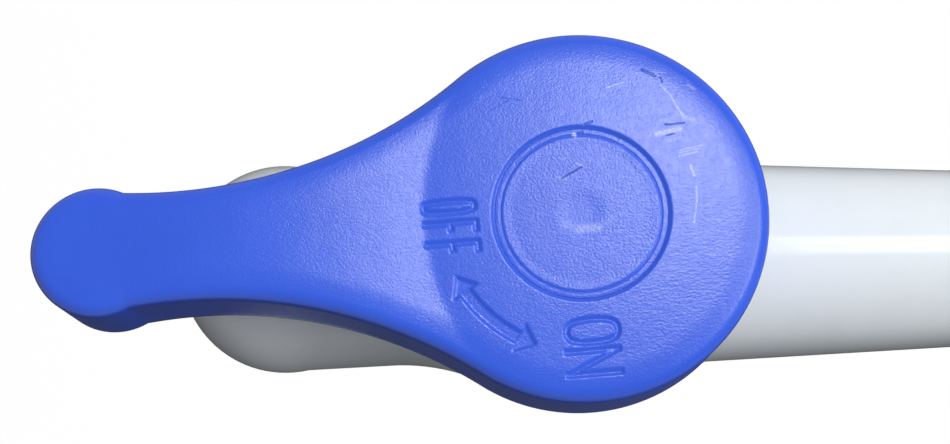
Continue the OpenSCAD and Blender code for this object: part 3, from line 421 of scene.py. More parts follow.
# %% Profiles
ROUND_STEPS = 4


def rounded(profile, radii):
    """Rounds the corners of a closed profile. Each corner is replaced by a quadratic curve from a
    point on one side to a point on the other, each the radius away or less than half a side."""
    profile = np.asarray(profile, float)
    t = np.linspace(0, 1, ROUND_STEPS + 1)[:, None]
    parts = []
    for corner, before, after, radius in zip(
            profile, np.roll(profile, 1, 0), np.roll(profile, -1, 0), radii):
        if radius == 0:
            parts.append(corner[None])
            continue
        sides = [point - corner for point in (before, after)]
        lengths = [np.linalg.norm(side) for side in sides]
        start, end = (corner + side / length * min(radius, 0.45 * length)
                      for side, length in zip(sides, lengths))
        parts.append((1 - t) ** 2 * start + 2 * t * (1 - t) * corner + t * t * end)
    return np.concatenate(parts)


def closed_loops(loops):
    """Faces that join loop to loop and the last loop back to the first: a closed ring."""
    count, width = len(loops), len(loops[0])
    numbers = np.arange(count * width).reshape(count, width)
    return np.concatenate([strip(numbers[i], numbers[(i + 1) % count]) for i in range(count)])


def turned(profile, turns):
    """A closed profile of (radius, height) turned about an upright axis: x and y are the radius
    times the cosine and the sine of the angle, and z is the height."""
    a = np.linspace(0, 2 * math.pi, turns, endpoint=False)
    radius, height = np.asarray(profile).T[:, :, None]
    points = np.stack([radius * np.cos(a), radius * np.sin(a), height + 0 * a], axis=2)
    faces = closed_loops(points)
    points = points.reshape(-1, 3)
    return points, outward(points, faces)

# %% [markdown]
# ## The lever's outline
# From above, the lever is a round hub that runs into an arm along two hollow arcs. They are
# tangent to the hub, narrowest at the waist, and meet the rounder tip in a shallow corner. Each
# point of the outline keeps its arc's centre, so that the outline can be drawn in by a margin,
# which is how a rounded edge and a wall are made. +X runs from the spindle to the tip here.

# %% Outline
HUB_R, ARM_R, TIP_R, EDGE_R = 23.0, 6.8, 7.95, 1.6
WAIST_REACH, TIP_REACH = 49.0, 58.6
SIDE_R = (WAIST_REACH ** 2 + ARM_R ** 2 - HUB_R ** 2) / (2 * (HUB_R - ARM_R))
SIDE_CENTRE = np.array([WAIST_REACH, ARM_R + SIDE_R])
TIP_CENTRE = np.array([TIP_REACH, 0.0])
CREASE_R, CREASE_X = 29.7, -10.6
SEAM_R = CREASE_R + 1.6
TIP_POINTS, SIDE_POINTS, ROOT_POINTS = 27, 56, 14
# The hub's edge has closer points up to this angle, where the words and the arrow are.
WORDS_TO, WORDS_POINTS, BACK_POINTS = 2.0, 120, 76


def crossing(centre_a, radius_a, centre_b, radius_b, side):
    """Where two circles meet, on one side of the line from the first centre to the second."""
    gap = np.subtract(centre_b, centre_a)
    far = np.linalg.norm(gap)
    along = (radius_a ** 2 - radius_b ** 2 + far ** 2) / (2 * far)
    across = math.sqrt(radius_a ** 2 - along ** 2)
    unit = gap / far
    return np.asarray(centre_a) + along * unit + side * across * np.array([-unit[1], unit[0]])


def direction(point, centre):
    """The angle at which a point is seen from a centre, from 0 to a full turn."""
    return math.atan2(point[1] - centre[1], point[0] - centre[0]) % (2 * math.pi)


corner = crossing(SIDE_CENTRE, SIDE_R, TIP_CENTRE, TIP_R, -1)
seam_end = crossing((CREASE_X, 0), SEAM_R, SIDE_CENTRE, SIDE_R + EDGE_R, -1)
tangent = direction(SIDE_CENTRE, (0, 0))
tip_a = np.linspace(0, direction(corner, TIP_CENTRE), TIP_POINTS)
side_a = np.linspace(direction(corner, SIDE_CENTRE), direction(seam_end, SIDE_CENTRE), SIDE_POINTS)
root_a = np.linspace(side_a[-1], tangent + math.pi, ROOT_POINTS)[1:]
hub_a = np.concatenate([np.linspace(tangent, WORDS_TO, WORDS_POINTS)[1:],
                        np.linspace(WORDS_TO, math.pi, BACK_POINTS)[1:]])
SEAM_ROW = len(tip_a) + len(side_a) - 1


def arc_rows(centre, radius, sense, angles):
    """Rows of centre x and y, radius, sense and angle. A hollow arc has the sense -1."""
    return np.column_stack([np.broadcast_to([*centre, radius, sense], (len(angles), 4)), angles])


half_outline = np.concatenate([
    arc_rows(TIP_CENTRE, TIP_R, 1, tip_a), arc_rows(SIDE_CENTRE, SIDE_R, -1, side_a),
    arc_rows(SIDE_CENTRE, SIDE_R, -1, root_a), arc_rows((0, 0), HUB_R, 1, hub_a)])


def outline(margin):
    """The closed outline, drawn in by a margin: each point moves along its arc's radius. The
    second half mirrors the first, from the hub's back to the tip."""
    centre, (radius, sense, angle) = half_outline[:, :2], half_outline[:, 2:].T
    reach = radius - sense * margin
    first = centre + np.column_stack([reach * np.cos(angle), reach * np.sin(angle)])
    first[0, 1] = first[-1, 1] = 0
    return np.concatenate([first, first[-2:0:-1] * [1, -1]])


print("outline points:", len(outline(0)))

# %% [markdown]
# ## The height of the lever's top
# The hub is flat. Past a round crease the arm rises, a little more steeply at its root than near
# the tip, and the whole top sinks slightly towards its edge, as moulded plastic does. The eye
# only sees this as light: the arm's root mirrors another part of the room than the hub does.

# %% Top height
TOP_Z, RISE, ROOT_RISE = 32.0, math.tan(math.radians(2.5)), math.tan(math.radians(4.8))
LEVELS_AT, CREASE_SOFT, LEVEL_SOFT = 19.0, 0.25, 6.0
TIP_PAST = TIP_REACH + TIP_R - EDGE_R - CREASE_X - CREASE_R
CROWN, CROWN_REACH = 0.29, 4.2


def ramp(distance, soft):
    """Nothing before zero and the distance itself after it: log(1 + exp) rounds the bend."""
    return soft * np.logaddexp(0, distance / soft)


LEVELLING = (ROOT_RISE - RISE) * TIP_PAST / ramp(TIP_PAST - LEVELS_AT, LEVEL_SOFT)


def top_height(points):
    """The top without its crown: flat over the hub, and past the crease it rises like a flat
    cone, steeper near the hub and levelling off towards the tip, whose height is the solid's."""
    past = np.hypot(points[:, 0] - CREASE_X, points[:, 1]) - CREASE_R
    return (TOP_Z + ROOT_RISE * ramp(past, CREASE_SOFT)
            - LEVELLING * ramp(past - LEVELS_AT, LEVEL_SOFT))


def crown(points):
    """How far the top sinks towards its edge: with the square of the distance still to go. The
    distance is taken from the hub's circle, the tip's or the nearer hollow arc."""
    x, y = points[:, 0], np.abs(points[:, 1])
    side = np.hypot(x - SIDE_CENTRE[0], y - SIDE_CENTRE[1]) - SIDE_R
    at_tip = TIP_R - np.hypot(x - TIP_REACH, y)
    inside = np.where(np.arctan2(y, x) > tangent, HUB_R - np.hypot(x, y), np.maximum(side, at_tip))
    inside = np.where(np.arctan2(y, x - TIP_REACH) < tip_a[-1], at_tip, inside)
    return CROWN * np.clip(1 - np.maximum(inside, EDGE_R) / CROWN_REACH, 0, 1) ** 2


print("top at the tip:", round(float(top_height(TIP_CENTRE[None])[0]), 2), "mm")

# %% [markdown]
# ## The engraved marks
# The hub carries two generic words, OFF towards the arm and ON a quarter turn away, and a curved
# arrow between them. They are cut 0.19 mm deep with soft walls. Each stroke is a signed distance:
# how far a point lies outside the stroke, negative inside. The nearest stroke wins, and a smooth
# step turns the distance into a depth, so the marks are real relief in the mesh. First come the
# distances to the plain shapes that the strokes are made of.

# %% Stroke shapes
def box_distance(p, low, high):
    """Distance to a rectangle: how far the point is past the nearer side, each way."""
    past = np.maximum(np.subtract(low, p), np.subtract(p, high))
    return np.hypot(*np.maximum(past, 0).T) + np.minimum(past.max(axis=1), 0)


def segment_distance(p, start, end):
    """Distance to a line: to the nearest of its points."""
    along = np.subtract(end, start)
    t = np.clip((p - start) @ along / (along @ along), 0, 1)
    return np.hypot(*(p - start - t[:, None] * along).T)


def polygon_distance(p, corners):
    """Roughly the distance to a three-sided shape: the largest distance past one of its sides."""
    sides = np.roll(corners, -1, 0) - corners
    normals = np.column_stack([sides[:, 1], -sides[:, 0]])
    normals /= np.linalg.norm(normals, axis=1)[:, None]
    return (np.einsum("psk,sk->ps", p[:, None] - corners, normals)).max(axis=1)


print("from (3, 4) to the origin:", segment_distance(np.array([[3.0, 4.0]]), (0, 0), (0, -1))[0])

# %% [markdown]
# ## Letters and arrow
# The letters stand along the lever's own X, so that they are read from the side. Each is drawn
# about its middle and moved to its place. The arrow is a band along a circle about the spindle.

# %% Engraving
MARK_DEPTH, STROKE, LETTER_H, MARK_WALL = 0.19, 0.54, 6.7, 0.28
ROUNDNESS, SHORT_BAR, SLANT_HALF = 2.6, 0.85, 0.42
O_W, F_W, BROAD_W = 1.9, 1.5, 3.3
OFF_PLACES = ((16.0, -2.05), (15.95, 0.42), (15.9, 2.95))
ON_PLACES = ((0.15, 14.55), (0.3, 18.3))
ARROW_REACH, ARROW_W, ARROW_HEAD_W, ARROW_HEAD_A = 17.1, 1.5, 3.5, 7.2
ARROW_FROM, ARROW_TO = 22.8, 66.0


def letter_o(p, width):
    """A ring between an oval and a racetrack: |x/a|^e + |y/b|^e = 1 runs round the middle of
    the stroke, and how far its left side is from 1, over its slope, is roughly the distance."""
    half = np.array([LETTER_H - STROKE, width - STROKE]) / 2
    share = np.abs(p / half) + 1e-6
    size = (share ** ROUNDNESS).sum(axis=1) ** (1 / ROUNDNESS)
    slope = np.hypot(*((share / size[:, None]) ** (ROUNDNESS - 1) / half).T)
    return np.abs(size - 1) / slope - STROKE / 2


def letter_f(p, width):
    """A stem with a full bar at its top and a shorter one in the middle."""
    top, side = -LETTER_H / 2, -width / 2
    bars = [((top, side), (-top, side + STROKE)), ((top, side), (top + STROKE, -side)),
            ((-STROKE / 2, side), (STROKE / 2, side + SHORT_BAR * width))]
    return np.min([box_distance(p, low, high) for low, high in bars], axis=0)


def letter_n(p, width):
    """Two stems and a slant from corner to corner, a little thinner than they are."""
    top, side = -LETTER_H / 2, -width / 2
    stems = [box_distance(p, (top, s), (-top, s + STROKE)) for s in (side, -side - STROKE)]
    slant = segment_distance(p, (top + STROKE / 2, side + STROKE / 2),
                             (-top - STROKE / 2, -side - STROKE / 2)) - SLANT_HALF * STROKE
    return np.min([*stems, slant], axis=0)


def arrow(p):
    """A band along a circle, cut by two rays, with a three-sided head at either end."""
    first, last = np.radians([ARROW_FROM + ARROW_HEAD_A, ARROW_TO - ARROW_HEAD_A])
    band = np.abs(np.hypot(*p.T) - ARROW_REACH) - ARROW_W / 2
    ends = np.maximum(p @ [math.sin(first), -math.cos(first)], p @ [-math.sin(last), math.cos(last)])
    shapes = [np.maximum(band, ends)]
    for angle, sense in ((first, -1), (last, 1)):
        out = np.array([math.cos(angle), math.sin(angle)])
        tip_angle = angle + sense * math.radians(ARROW_HEAD_A)
        tip = ARROW_REACH * np.array([math.cos(tip_angle), math.sin(tip_angle)])
        base = [(ARROW_REACH + s * ARROW_HEAD_W / 2) * out for s in (-sense, sense)]
        shapes.append(polygon_distance(p, np.array([*base, tip])))
    return np.min(shapes, axis=0)


def engraving(points):
    """Depth of the marks at each point. Half of a wall's width lies outside the stroke."""
    strokes = [letter_o(points - OFF_PLACES[0], O_W), letter_f(points - OFF_PLACES[1], F_W),
               letter_f(points - OFF_PLACES[2], F_W), letter_o(points - ON_PLACES[0], BROAD_W),
               letter_n(points - ON_PLACES[1], BROAD_W), arrow(points)]
    t = np.clip(0.5 - np.min(strokes, axis=0) / MARK_WALL, 0, 1)
    return MARK_DEPTH * t * t * (3 - 2 * t)


arrow_middle = math.radians((ARROW_FROM + ARROW_TO) / 2)
print("depth in the arrow's middle:", engraving(
    ARROW_REACH * np.array([[math.cos(arrow_middle), math.sin(arrow_middle)]]))[0], "mm")

# %% [markdown]
# ## The lever's top and ceiling
# The top is one surface with a round hole for the cap. The arm's end is a patch of its own: rows
# across the arm, from the tip to a seam just past the crease. Inside the seam, straight rays run
# from the boundary to the hole, dense enough there to carry the engraved words. The ceiling
# inside the lever is made the same way, a wall's thickness further in.

# %% Top and ceiling
COLUMNS = 120


def arm_rows(edge):
    """Rows across the arm: row i lies on a circle about the crease's centre, through the i-th
    point of the outline, and the angle runs evenly from one side to the other."""
    ends = edge[1:SEAM_ROW + 1] - [CREASE_X, 0]
    far, angle = np.hypot(*ends.T), np.arctan2(ends[:, 1], ends[:, 0])
    across = angle[:, None] * np.linspace(1, -1, COLUMNS + 1)[None, 1:-1]
    return np.stack([CREASE_X + far[:, None] * np.cos(across),
                     far[:, None] * np.sin(across)], axis=2)


def roof(edge, edge_numbers, first_number, inner_r, rings):
    """The faces of a whole top or ceiling: arm rows, then rays from the seam and the hub's edge
    in to a circle. Returns new points, faces and the numbers of the inner circle."""
    size = len(edge)
    rows = arm_rows(edge)
    new = [rows.reshape(-1, 2)]
    grid = np.empty((SEAM_ROW + 1, COLUMNS + 1), int)
    grid[0] = edge_numbers[0]
    grid[1:, 0] = edge_numbers[1:SEAM_ROW + 1]
    grid[1:, -1] = edge_numbers[size - np.arange(1, SEAM_ROW + 1)]
    patch = np.arange(SEAM_ROW * (COLUMNS - 1)).reshape(SEAM_ROW, COLUMNS - 1)
    grid[1:, 1:-1] = first_number + patch
    faces = [strip(grid[i], grid[i + 1], closed=False) for i in range(SEAM_ROW)]
    hub = np.arange(SEAM_ROW, size - SEAM_ROW + 1)
    boundary = np.concatenate([edge[hub], rows[-1][::-1]])
    outer = np.concatenate([edge_numbers[hub], grid[-1, 1:-1][::-1]])
    reach = np.hypot(*boundary.T)
    unit = boundary / reach[:, None]
    next_number = first_number + patch.size
    for t in np.linspace(0, 1, rings + 1)[1:]:
        ring = next_number + np.arange(len(outer))
        new.append(unit * (reach + (inner_r - reach) * t)[:, None])
        faces.append(strip(outer, ring))
        outer, next_number = ring, next_number + len(outer)
    return np.concatenate(new), np.concatenate(faces), outer, unit


print("boundary points:", len(outline(0)), "of which on the arm:", 2 * SEAM_ROW)

# %% [markdown]
# ## The lever as one closed skin
# The lever is a thin-walled moulding, open below. Its skin is a chain of loops that all run
# round the spindle: down the wall, round the lip, up inside to the ceiling, and then down and up
# again through the boss and its square socket to the recess for the cap. A loop of the wall is
# a margin in from the outline and a drop below the top. A loop of the boss is a radius and a
# height, and for the square socket the radius depends on the angle.

# %% Lever skin
RINGS, CEILING_RINGS = 62, 5
SKIRT, WALL, ROOF, LIP = 13.0, 2.4, 3.0, 0.35
CAP_BASE, WEB_TOP, WEB, SOCKET_TOP, BOSS_BASE = 30.4, 27.0, 2.0, 25.8, 20.2
RECESS_R, POCKET_R, CUP_R, BOSS_R, HOLE_R, SQUARE = 10.55, 9.0, 11.0, 7.0, 2.1, 3.15
RECESS_EDGE, RECESS_DROP = 0.5, 0.22

edge_steps = np.radians(np.linspace(90, 0, 8))
WALL_LOOPS = [(EDGE_R * (1 - math.cos(a)), EDGE_R * (1 - math.sin(a))) for a in edge_steps]
WALL_LOOPS += [(0, drop) for drop in (3, 5.5, 8, 10.5, SKIRT - LIP)]
WALL_LOOPS += [(0.1, SKIRT - 0.1), (LIP, SKIRT), (WALL - LIP, SKIRT), (WALL - 0.1, SKIRT - 0.1),
               (WALL, SKIRT - LIP), (WALL, 9), (WALL, ROOF + 1), (WALL + 0.3, ROOF + 0.3),
               (WALL + 1, ROOF)]


def boss_loops(unit):
    """Radius and height of each loop from the ceiling to the recess's rim. The square's radius
    is half its width over the larger of the direction's two parts."""
    square_r = SQUARE / np.maximum(np.abs(unit[:, 0]), np.abs(unit[:, 1]))
    loops = [(CUP_R, WEB_TOP - WEB), (BOSS_R, WEB_TOP - WEB), (BOSS_R, BOSS_BASE),
             (square_r, BOSS_BASE), (square_r, SOCKET_TOP), (HOLE_R, SOCKET_TOP),
             (HOLE_R, WEB_TOP), (POCKET_R, WEB_TOP), (POCKET_R, CAP_BASE), (RECESS_R, CAP_BASE)]
    for t in (0, 0.17, 0.33, 0.5, 0.67, 0.83):
        drop = RECESS_DROP * (0.5 + 0.5 * math.cos(math.pi * t))
        loops.append((RECESS_R + RECESS_EDGE * t, TOP_Z - drop))
    return loops


def lever_skin():
    """Joins the wall's loops, the top, the ceiling and the boss's loops into one shell."""
    points, faces, numbers = [], [], []
    for margin, drop in WALL_LOOPS:
        flat = outline(margin)
        numbers.append(len(points) * len(flat) + np.arange(len(flat)))
        sunk = crown(flat) * max(0, 1 - drop / EDGE_R)
        points.append(np.column_stack([flat, top_height(flat) - sunk - drop]))
        if len(numbers) > 1:
            faces.append(strip(numbers[-2], numbers[-1]))
    points = np.concatenate(points)

    flat, top_faces, rim, _ = roof(outline(EDGE_R), numbers[0], len(points),
                                   RECESS_R + RECESS_EDGE, RINGS)
    top = np.column_stack([flat, top_height(flat) - crown(flat) - engraving(flat)])
    points = np.concatenate([points, top])
    flat, ceiling_faces, inner, unit = roof(outline(WALL + 1), numbers[-1], len(points),
                                            CUP_R, CEILING_RINGS)
    points = np.concatenate([points, np.column_stack([flat, top_height(flat) - ROOF])])
    faces += [top_faces[:, ::-1], ceiling_faces]

    for radius, height in boss_loops(unit):
        ring = len(points) + np.arange(len(inner))
        spread = unit * np.broadcast_to(radius, len(inner))[:, None]
        points = np.concatenate([points, np.column_stack([spread, np.full(len(inner), height)])])
        faces.append(strip(inner, ring))
        inner = ring
    faces.append(strip(inner, rim))
    faces = np.concatenate(faces)
    return points, outward(points, faces)


skin_points, skin_faces = lever_skin()
print("lever skin:", len(skin_faces), "faces, volume",
      round(signed_volume(skin_points, skin_faces) / 1000, 1), "cm3")

# %% [markdown]
# ## Ribs under the lever
# Seen from below, four ribs join the boss to the hub's wall, one runs along the arm and three
# across it. Two of the four also meet the body's lug and stop the lever. Each is a slab of eight
# corners that ends inside the wall, the roof or the boss. The hub's ribs are in two parts, so
# that the inner one stays under the recess for the cap and the outer one reaches the roof.

# %% Ribs
RIB, RIB_DRAFT, STOP_RIB_A = 2.0, 0.25, 14.9
HUB_RIB_LOW, ARM_RIB_LOW, ARM_RIB_TOP = BOSS_BASE + 0.3, TOP_Z - SKIRT + 5, TOP_Z - 0.4


def slab(start, end, low, high):
    """A rib between two points: eight corners, thinner at its lower edge, as a mould needs."""
    start, end = np.asarray(start, float), np.asarray(end, float)
    along = (end - start) / np.linalg.norm(end - start)
    across = np.array([-along[1], along[0]])
    corners = []
    for height, half_width in ((low, RIB / 2 - RIB_DRAFT), (high, RIB / 2)):
        for point, side in ((start, -1), (end, -1), (end, 1), (start, 1)):
            corners.append([*(point + side * half_width * across), height])
    faces = np.array([[0, 3, 2, 1], [4, 5, 6, 7], [0, 1, 5, 4], [1, 2, 6, 5], [2, 3, 7, 6],
                      [3, 0, 4, 7]])
    return np.array(corners), faces


def join_shells(*shells):
    """Puts closed shells into one mesh by counting on the vertex numbers."""
    starts = np.cumsum([0] + [len(points) for points, _ in shells])
    return (np.concatenate([points for points, _ in shells]),
            np.concatenate([faces + start for (_, faces), start in zip(shells, starts)]))


def place_lever(points):
    """From the lever's own frame to where it stands: turned about the spindle."""
    turn = math.radians(180 + REST_TURN)
    axes = np.array([[math.cos(turn), math.sin(turn)], [-math.sin(turn), math.cos(turn)]])
    return np.column_stack([points[:, :2] @ axes + [SPINDLE_X, 0], points[:, 2]])


ribs = []
for degrees in (180 + STOP_RIB_A, 90 - STOP_RIB_A, -45, -105):
    out = np.array([math.cos(math.radians(degrees)), math.sin(math.radians(degrees))])
    ribs.append(slab(out * (BOSS_R - 0.5), out * (CUP_R - 0.2), HUB_RIB_LOW, WEB_TOP - 0.4))
    ribs.append(slab(out * (CUP_R - 0.25), out * (HUB_R - WALL / 2), HUB_RIB_LOW, TOP_Z - 1))
spine_end, tip_half = TIP_REACH + TIP_R - WALL / 2, TIP_R - WALL / 2
ribs.append(slab((HUB_R - 3, 0), (spine_end, 0), ARM_RIB_LOW, ARM_RIB_TOP))
for reach in (HUB_R + 5, (HUB_R + 5 + TIP_REACH) / 2):
    half_width = SIDE_CENTRE[1] - math.sqrt(SIDE_R ** 2 - (reach - WAIST_REACH) ** 2) - WALL / 2
    ribs.append(slab((reach, -half_width), (reach, half_width), ARM_RIB_LOW, ARM_RIB_TOP))
ribs.append(slab((TIP_REACH, -tip_half), (TIP_REACH, tip_half), ARM_RIB_LOW, ARM_RIB_TOP))
points, faces = join_shells((skin_points, skin_faces), *ribs)
lever = mesh_object("lever_moulding", place_lever(points), faces, blue_plastic)
dress(lever, "handle", "blue_plastic", "lever")

# %% [markdown]
# ## The cap
# The cap snaps into the recess over the screw. It is a turned shape: a slightly dished disc with
# a faint dimple in the middle, where the mould was filled, a fine groove near its edge, and a
# flat band that ends close to the recess's rounded edge.

# %% Cap
SNAP_R, SNAP_WALL, SNAP_DEPTH, CAP_TOP, CAP_R = 8.85, 1.2, 2.0, 31.82, 10.53
DIMPLE_FLAT_R, DIMPLE_R, DIMPLE_DEPTH = 1.2, 3.4, 0.04
DISH_R, DISC_R, DISH_DEPTH = 8.2, 9.55, 0.025
GROOVE_R, GROOVE_DEPTH, BAND_R, BAND_DEPTH = 9.78, 0.09, 9.95, 0.03
CAP_TURNS = 180


def fall(radius, start, end):
    """Goes from 1 to 0 between two radii as the square of a cosine."""
    return np.cos(np.clip((radius - start) / (end - start), 0, 1) * math.pi / 2) ** 2


disc_r = np.concatenate([[0], np.linspace(DIMPLE_FLAT_R, DIMPLE_R, 14),
                         np.linspace(DISH_R, DISC_R, 10)])
disc_z = CAP_TOP - DIMPLE_DEPTH * fall(disc_r, DIMPLE_FLAT_R, DIMPLE_R)
disc_z -= DISH_DEPTH * fall(disc_r, DISH_R, DISC_R)
edge_profile = rounded([(DISC_R + 0.07, CAP_TOP), (GROOVE_R, CAP_TOP - GROOVE_DEPTH),
                        (BAND_R, CAP_TOP - BAND_DEPTH), (CAP_R, CAP_TOP - BAND_DEPTH),
                        (CAP_R, CAP_BASE), (SNAP_R, CAP_BASE), (SNAP_R, CAP_BASE - SNAP_DEPTH),
                        (SNAP_R - SNAP_WALL, CAP_BASE - SNAP_DEPTH),
                        (SNAP_R - SNAP_WALL, CAP_BASE), (0, CAP_BASE)],
                       [0.05, 0.06, 0.06, 0.04, 0.1, 0.1, 0.2, 0.2, 0.1, 0])
cap_points, cap_faces = turned(
    np.concatenate([np.column_stack([disc_r, disc_z]), edge_profile]), CAP_TURNS)
cap = mesh_object("lever_cap_moulding", place_lever(cap_points), cap_faces, blue_cap_plastic)
dress(cap, "handle", "blue_plastic", "lever_cap")

# %% [markdown]
# ## Sections of the inlet barrel
# The barrel is one surface of two parameters: the radius at each angle and at each distance along
# the axis. So a round section is the same radius all round, the wrench collar is a hexagon with
# turned corners, and a thread is a wave whose phase runs on with the angle.

# %% Barrel sections
TURNS = 144
THREAD_R, THREAD_PITCH, THREAD_DEPTH, LEAD_IN = 10.48, 25.4 / 14, 1.162, 1.0
THREAD_AT, THREAD_END = 70.0, 85.0
THREAD_WAVE, THREAD_FADE = 0.62, 0.8
angles = np.linspace(0, 2 * math.pi, TURNS, endpoint=False)


def round_section(radius):
    """The same radius at every angle."""
    return np.full(TURNS, float(radius))


def hexagon(flat_r, corner_r):
    """Half the width over the angle's cosine, taken from the middle of the nearest flat, and
    turned down to a circle at the corners. A high power mean makes that change soft."""
    from_flat = (angles + math.pi / 6) % (math.pi / 3) - math.pi / 6
    sharp = flat_r / np.cos(from_flat)
    return (sharp ** -60 + corner_r ** -60) ** (-1 / 60)


def thread_row(along):
    """A rounded wave round the axis that moves on by one pitch a turn. It fades in behind the
    collar and is held under the lead-in chamfer at its end."""
    phase = along / THREAD_PITCH - angles / (2 * math.pi)
    wave = np.clip(0.5 + THREAD_WAVE * np.cos(2 * math.pi * phase), 0, 1)
    fade = np.clip((along - THREAD_AT) / (THREAD_FADE * THREAD_PITCH), 0, 1)
    radius = THREAD_R - THREAD_DEPTH * (1 - wave * fade)
    return np.minimum(radius, THREAD_R - max(0.0, along - (THREAD_END - LEAD_IN)))


print("thread turns:", round((THREAD_END - THREAD_AT) / THREAD_PITCH, 1))

# %% [markdown]
# ## The inlet barrel
# The barrel tapers from the valve to its wrench collar, where it flares out, and ends in the
# half-inch pipe thread. Its rows start at the spigot in the body's socket, run outside to the
# thread's end and come back through the bore. Distances are from the spindle.

# %% Barrel
SPIGOT_AT, RING_AT, RING_END, SHOULDER_AT = 13.0, 14.7, 16.8, 18.5
SPIGOT_R, RING_R, SHOULDER_R, NECK_R = 12.6, 10.8, 13.9, 12.4
FLARE_AT, FLARE_R, FLARE_LIFT, COLLAR_AT = 53.1, 8.0, 2.58, 59.0
COLLAR_FLAT_R, COLLAR_CORNER_R, COLLAR_EDGE = 15.0, 16.82, 0.35
INLET_R, VALVE_R, BORE_STEP_AT, BORE_EDGE = 7.5, 10.1, 54.0, 0.3
TAPER_AT, TAPER_ROWS, FLARE_ROWS, COLLAR_ROWS, THREAD_ROWS = 19.0, 40, 16, 5, 110
barrel_rows = [(SPIGOT_AT, round_section(SPIGOT_R)), (RING_AT, round_section(SPIGOT_R)),
               (RING_AT, round_section(RING_R)), (RING_END, round_section(RING_R)),
               (RING_END, round_section(SPIGOT_R)), (SHOULDER_AT, round_section(SPIGOT_R)),
               (SHOULDER_AT, round_section(SHOULDER_R - 0.2)),
               (SHOULDER_AT + 0.2, round_section(SHOULDER_R))]
for along in np.linspace(TAPER_AT, FLARE_AT, TAPER_ROWS)[1:]:
    narrowed = (SHOULDER_R - NECK_R) * (along - SHOULDER_AT) / (FLARE_AT - SHOULDER_AT)
    barrel_rows.append((along, round_section(SHOULDER_R - narrowed)))
for along in np.linspace(FLARE_AT, COLLAR_AT, FLARE_ROWS)[1:]:
    lift = FLARE_R - math.sqrt(FLARE_R ** 2 - (along - FLARE_AT) ** 2)
    barrel_rows.append((along, round_section(NECK_R + min(lift, FLARE_LIFT))))
collar = hexagon(COLLAR_FLAT_R, COLLAR_CORNER_R)
barrel_rows += [(COLLAR_AT, collar - COLLAR_EDGE), (COLLAR_AT + 0.1, collar - 0.1),
                (COLLAR_AT + COLLAR_EDGE, collar)]
barrel_rows += [(along, collar)
                for along in np.linspace(COLLAR_AT + 1, THREAD_AT - 0.4, COLLAR_ROWS)]
barrel_rows += [(THREAD_AT - 0.1, collar - 0.1), (THREAD_AT, collar - COLLAR_EDGE)]
barrel_rows += [(along, thread_row(along))
                for along in np.linspace(THREAD_AT, THREAD_END, THREAD_ROWS)]
barrel_rows += [(THREAD_END, round_section(INLET_R + BORE_EDGE)),
                (THREAD_END - BORE_EDGE, round_section(INLET_R)),
                (COLLAR_AT, round_section(INLET_R)), (BORE_STEP_AT, round_section(VALVE_R)),
                (SPIGOT_AT + BORE_EDGE, round_section(VALVE_R)),
                (SPIGOT_AT, round_section(VALVE_R + BORE_EDGE))]


def along_x(rows):
    """Loops about the tube's axis: each row is a distance from the spindle and its radii."""
    along = np.array([row[0] for row in rows])[:, None]
    radius = np.array([row[1] for row in rows])
    points = np.stack([SPINDLE_X + along + 0 * radius, radius * np.cos(angles),
                       radius * np.sin(angles)], axis=2)
    faces = closed_loops(points)
    points = points.reshape(-1, 3)
    return points, outward(points, faces)


barrel = mesh_object("inlet_barrel_moulding", *along_x(barrel_rows), white_plastic)
dress(barrel, "tap", "white_plastic", "inlet_barrel")

# %% [markdown]
# ## The solids that keep their shape
# The other white pieces are already what they should be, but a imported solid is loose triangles,
# and each would show as a flat facet. A copy with its doubles merged can be shaded smoothly
# between its sharp edges, and stands for the solid. The body's copy is changed in one place: the
# socket round the barrel gets thinner towards its mouth.

# %% Smooth copies
SOCKET_R, SOCKET_TAPER_FROM, SOCKET_LOSS = 15.5, 14.3, 1.4
SOLID_SHARP_DEGREES, MERGE_WITHIN, SAME = 28, 0.002, 0.1


def taper_socket(mesh):
    """The body's socket gets thinner towards its mouth. The loss of radius grows with the
    distance from where the taper starts, and only the outer skin has it."""
    points = np.empty(len(mesh.vertices) * 3, np.float32)
    mesh.vertices.foreach_get("co", points)
    points = points.reshape(-1, 3)
    along = points[:, 0] / MM - SPINDLE_X
    radius = np.hypot(points[:, 1], points[:, 2]) / MM
    outer = (np.abs(radius - SOCKET_R) < SAME) & (along < SHOULDER_AT + SAME)
    share = np.clip((along - SOCKET_TAPER_FROM) / (SHOULDER_AT - SOCKET_TAPER_FROM), 0, 1) * outer
    points[:, 1:] *= (1 - SOCKET_LOSS * share / np.maximum(radius, 1))[:, None]
    mesh.vertices.foreach_set("co", points.ravel())


def smooth_copy(node, material):
    """Copies a solid's mesh, merges points that coincide, and marks its sharp edges."""
    mesh = frame["nodes"][node].data.copy()
    mesh.name = node + "_smooth"
    if node == "tap_body":
        taper_socket(mesh)
    worked = bmesh.new()
    worked.from_mesh(mesh)
    bmesh.ops.remove_doubles(worked, verts=worked.verts, dist=MERGE_WITHIN * MM)
    worked.to_mesh(mesh)
    worked.free()
    mesh.polygons.foreach_set("use_smooth", np.ones(len(mesh.polygons), bool))
    mesh.set_sharp_from_angle(angle=math.radians(SOLID_SHARP_DEGREES))
    mesh.materials.clear()
    mesh.materials.append(material)
    piece = bpy.data.objects.new(node + "_smooth", mesh)
    scene.collection.objects.link(piece)
    print(piece.name, len(mesh.polygons), "triangles")
    return piece


for node in ("tap_body", "gland_nut", "aerator_ring", "hose_tail", "hose_nut"):
    dress(smooth_copy(node, white_plastic), "tap", "white_plastic", node)

# %% [markdown]
# ## The solids that only get a material
# The inner pieces stay as packed. Every solid takes the material of its slot, also those that a
# piece above stands for.

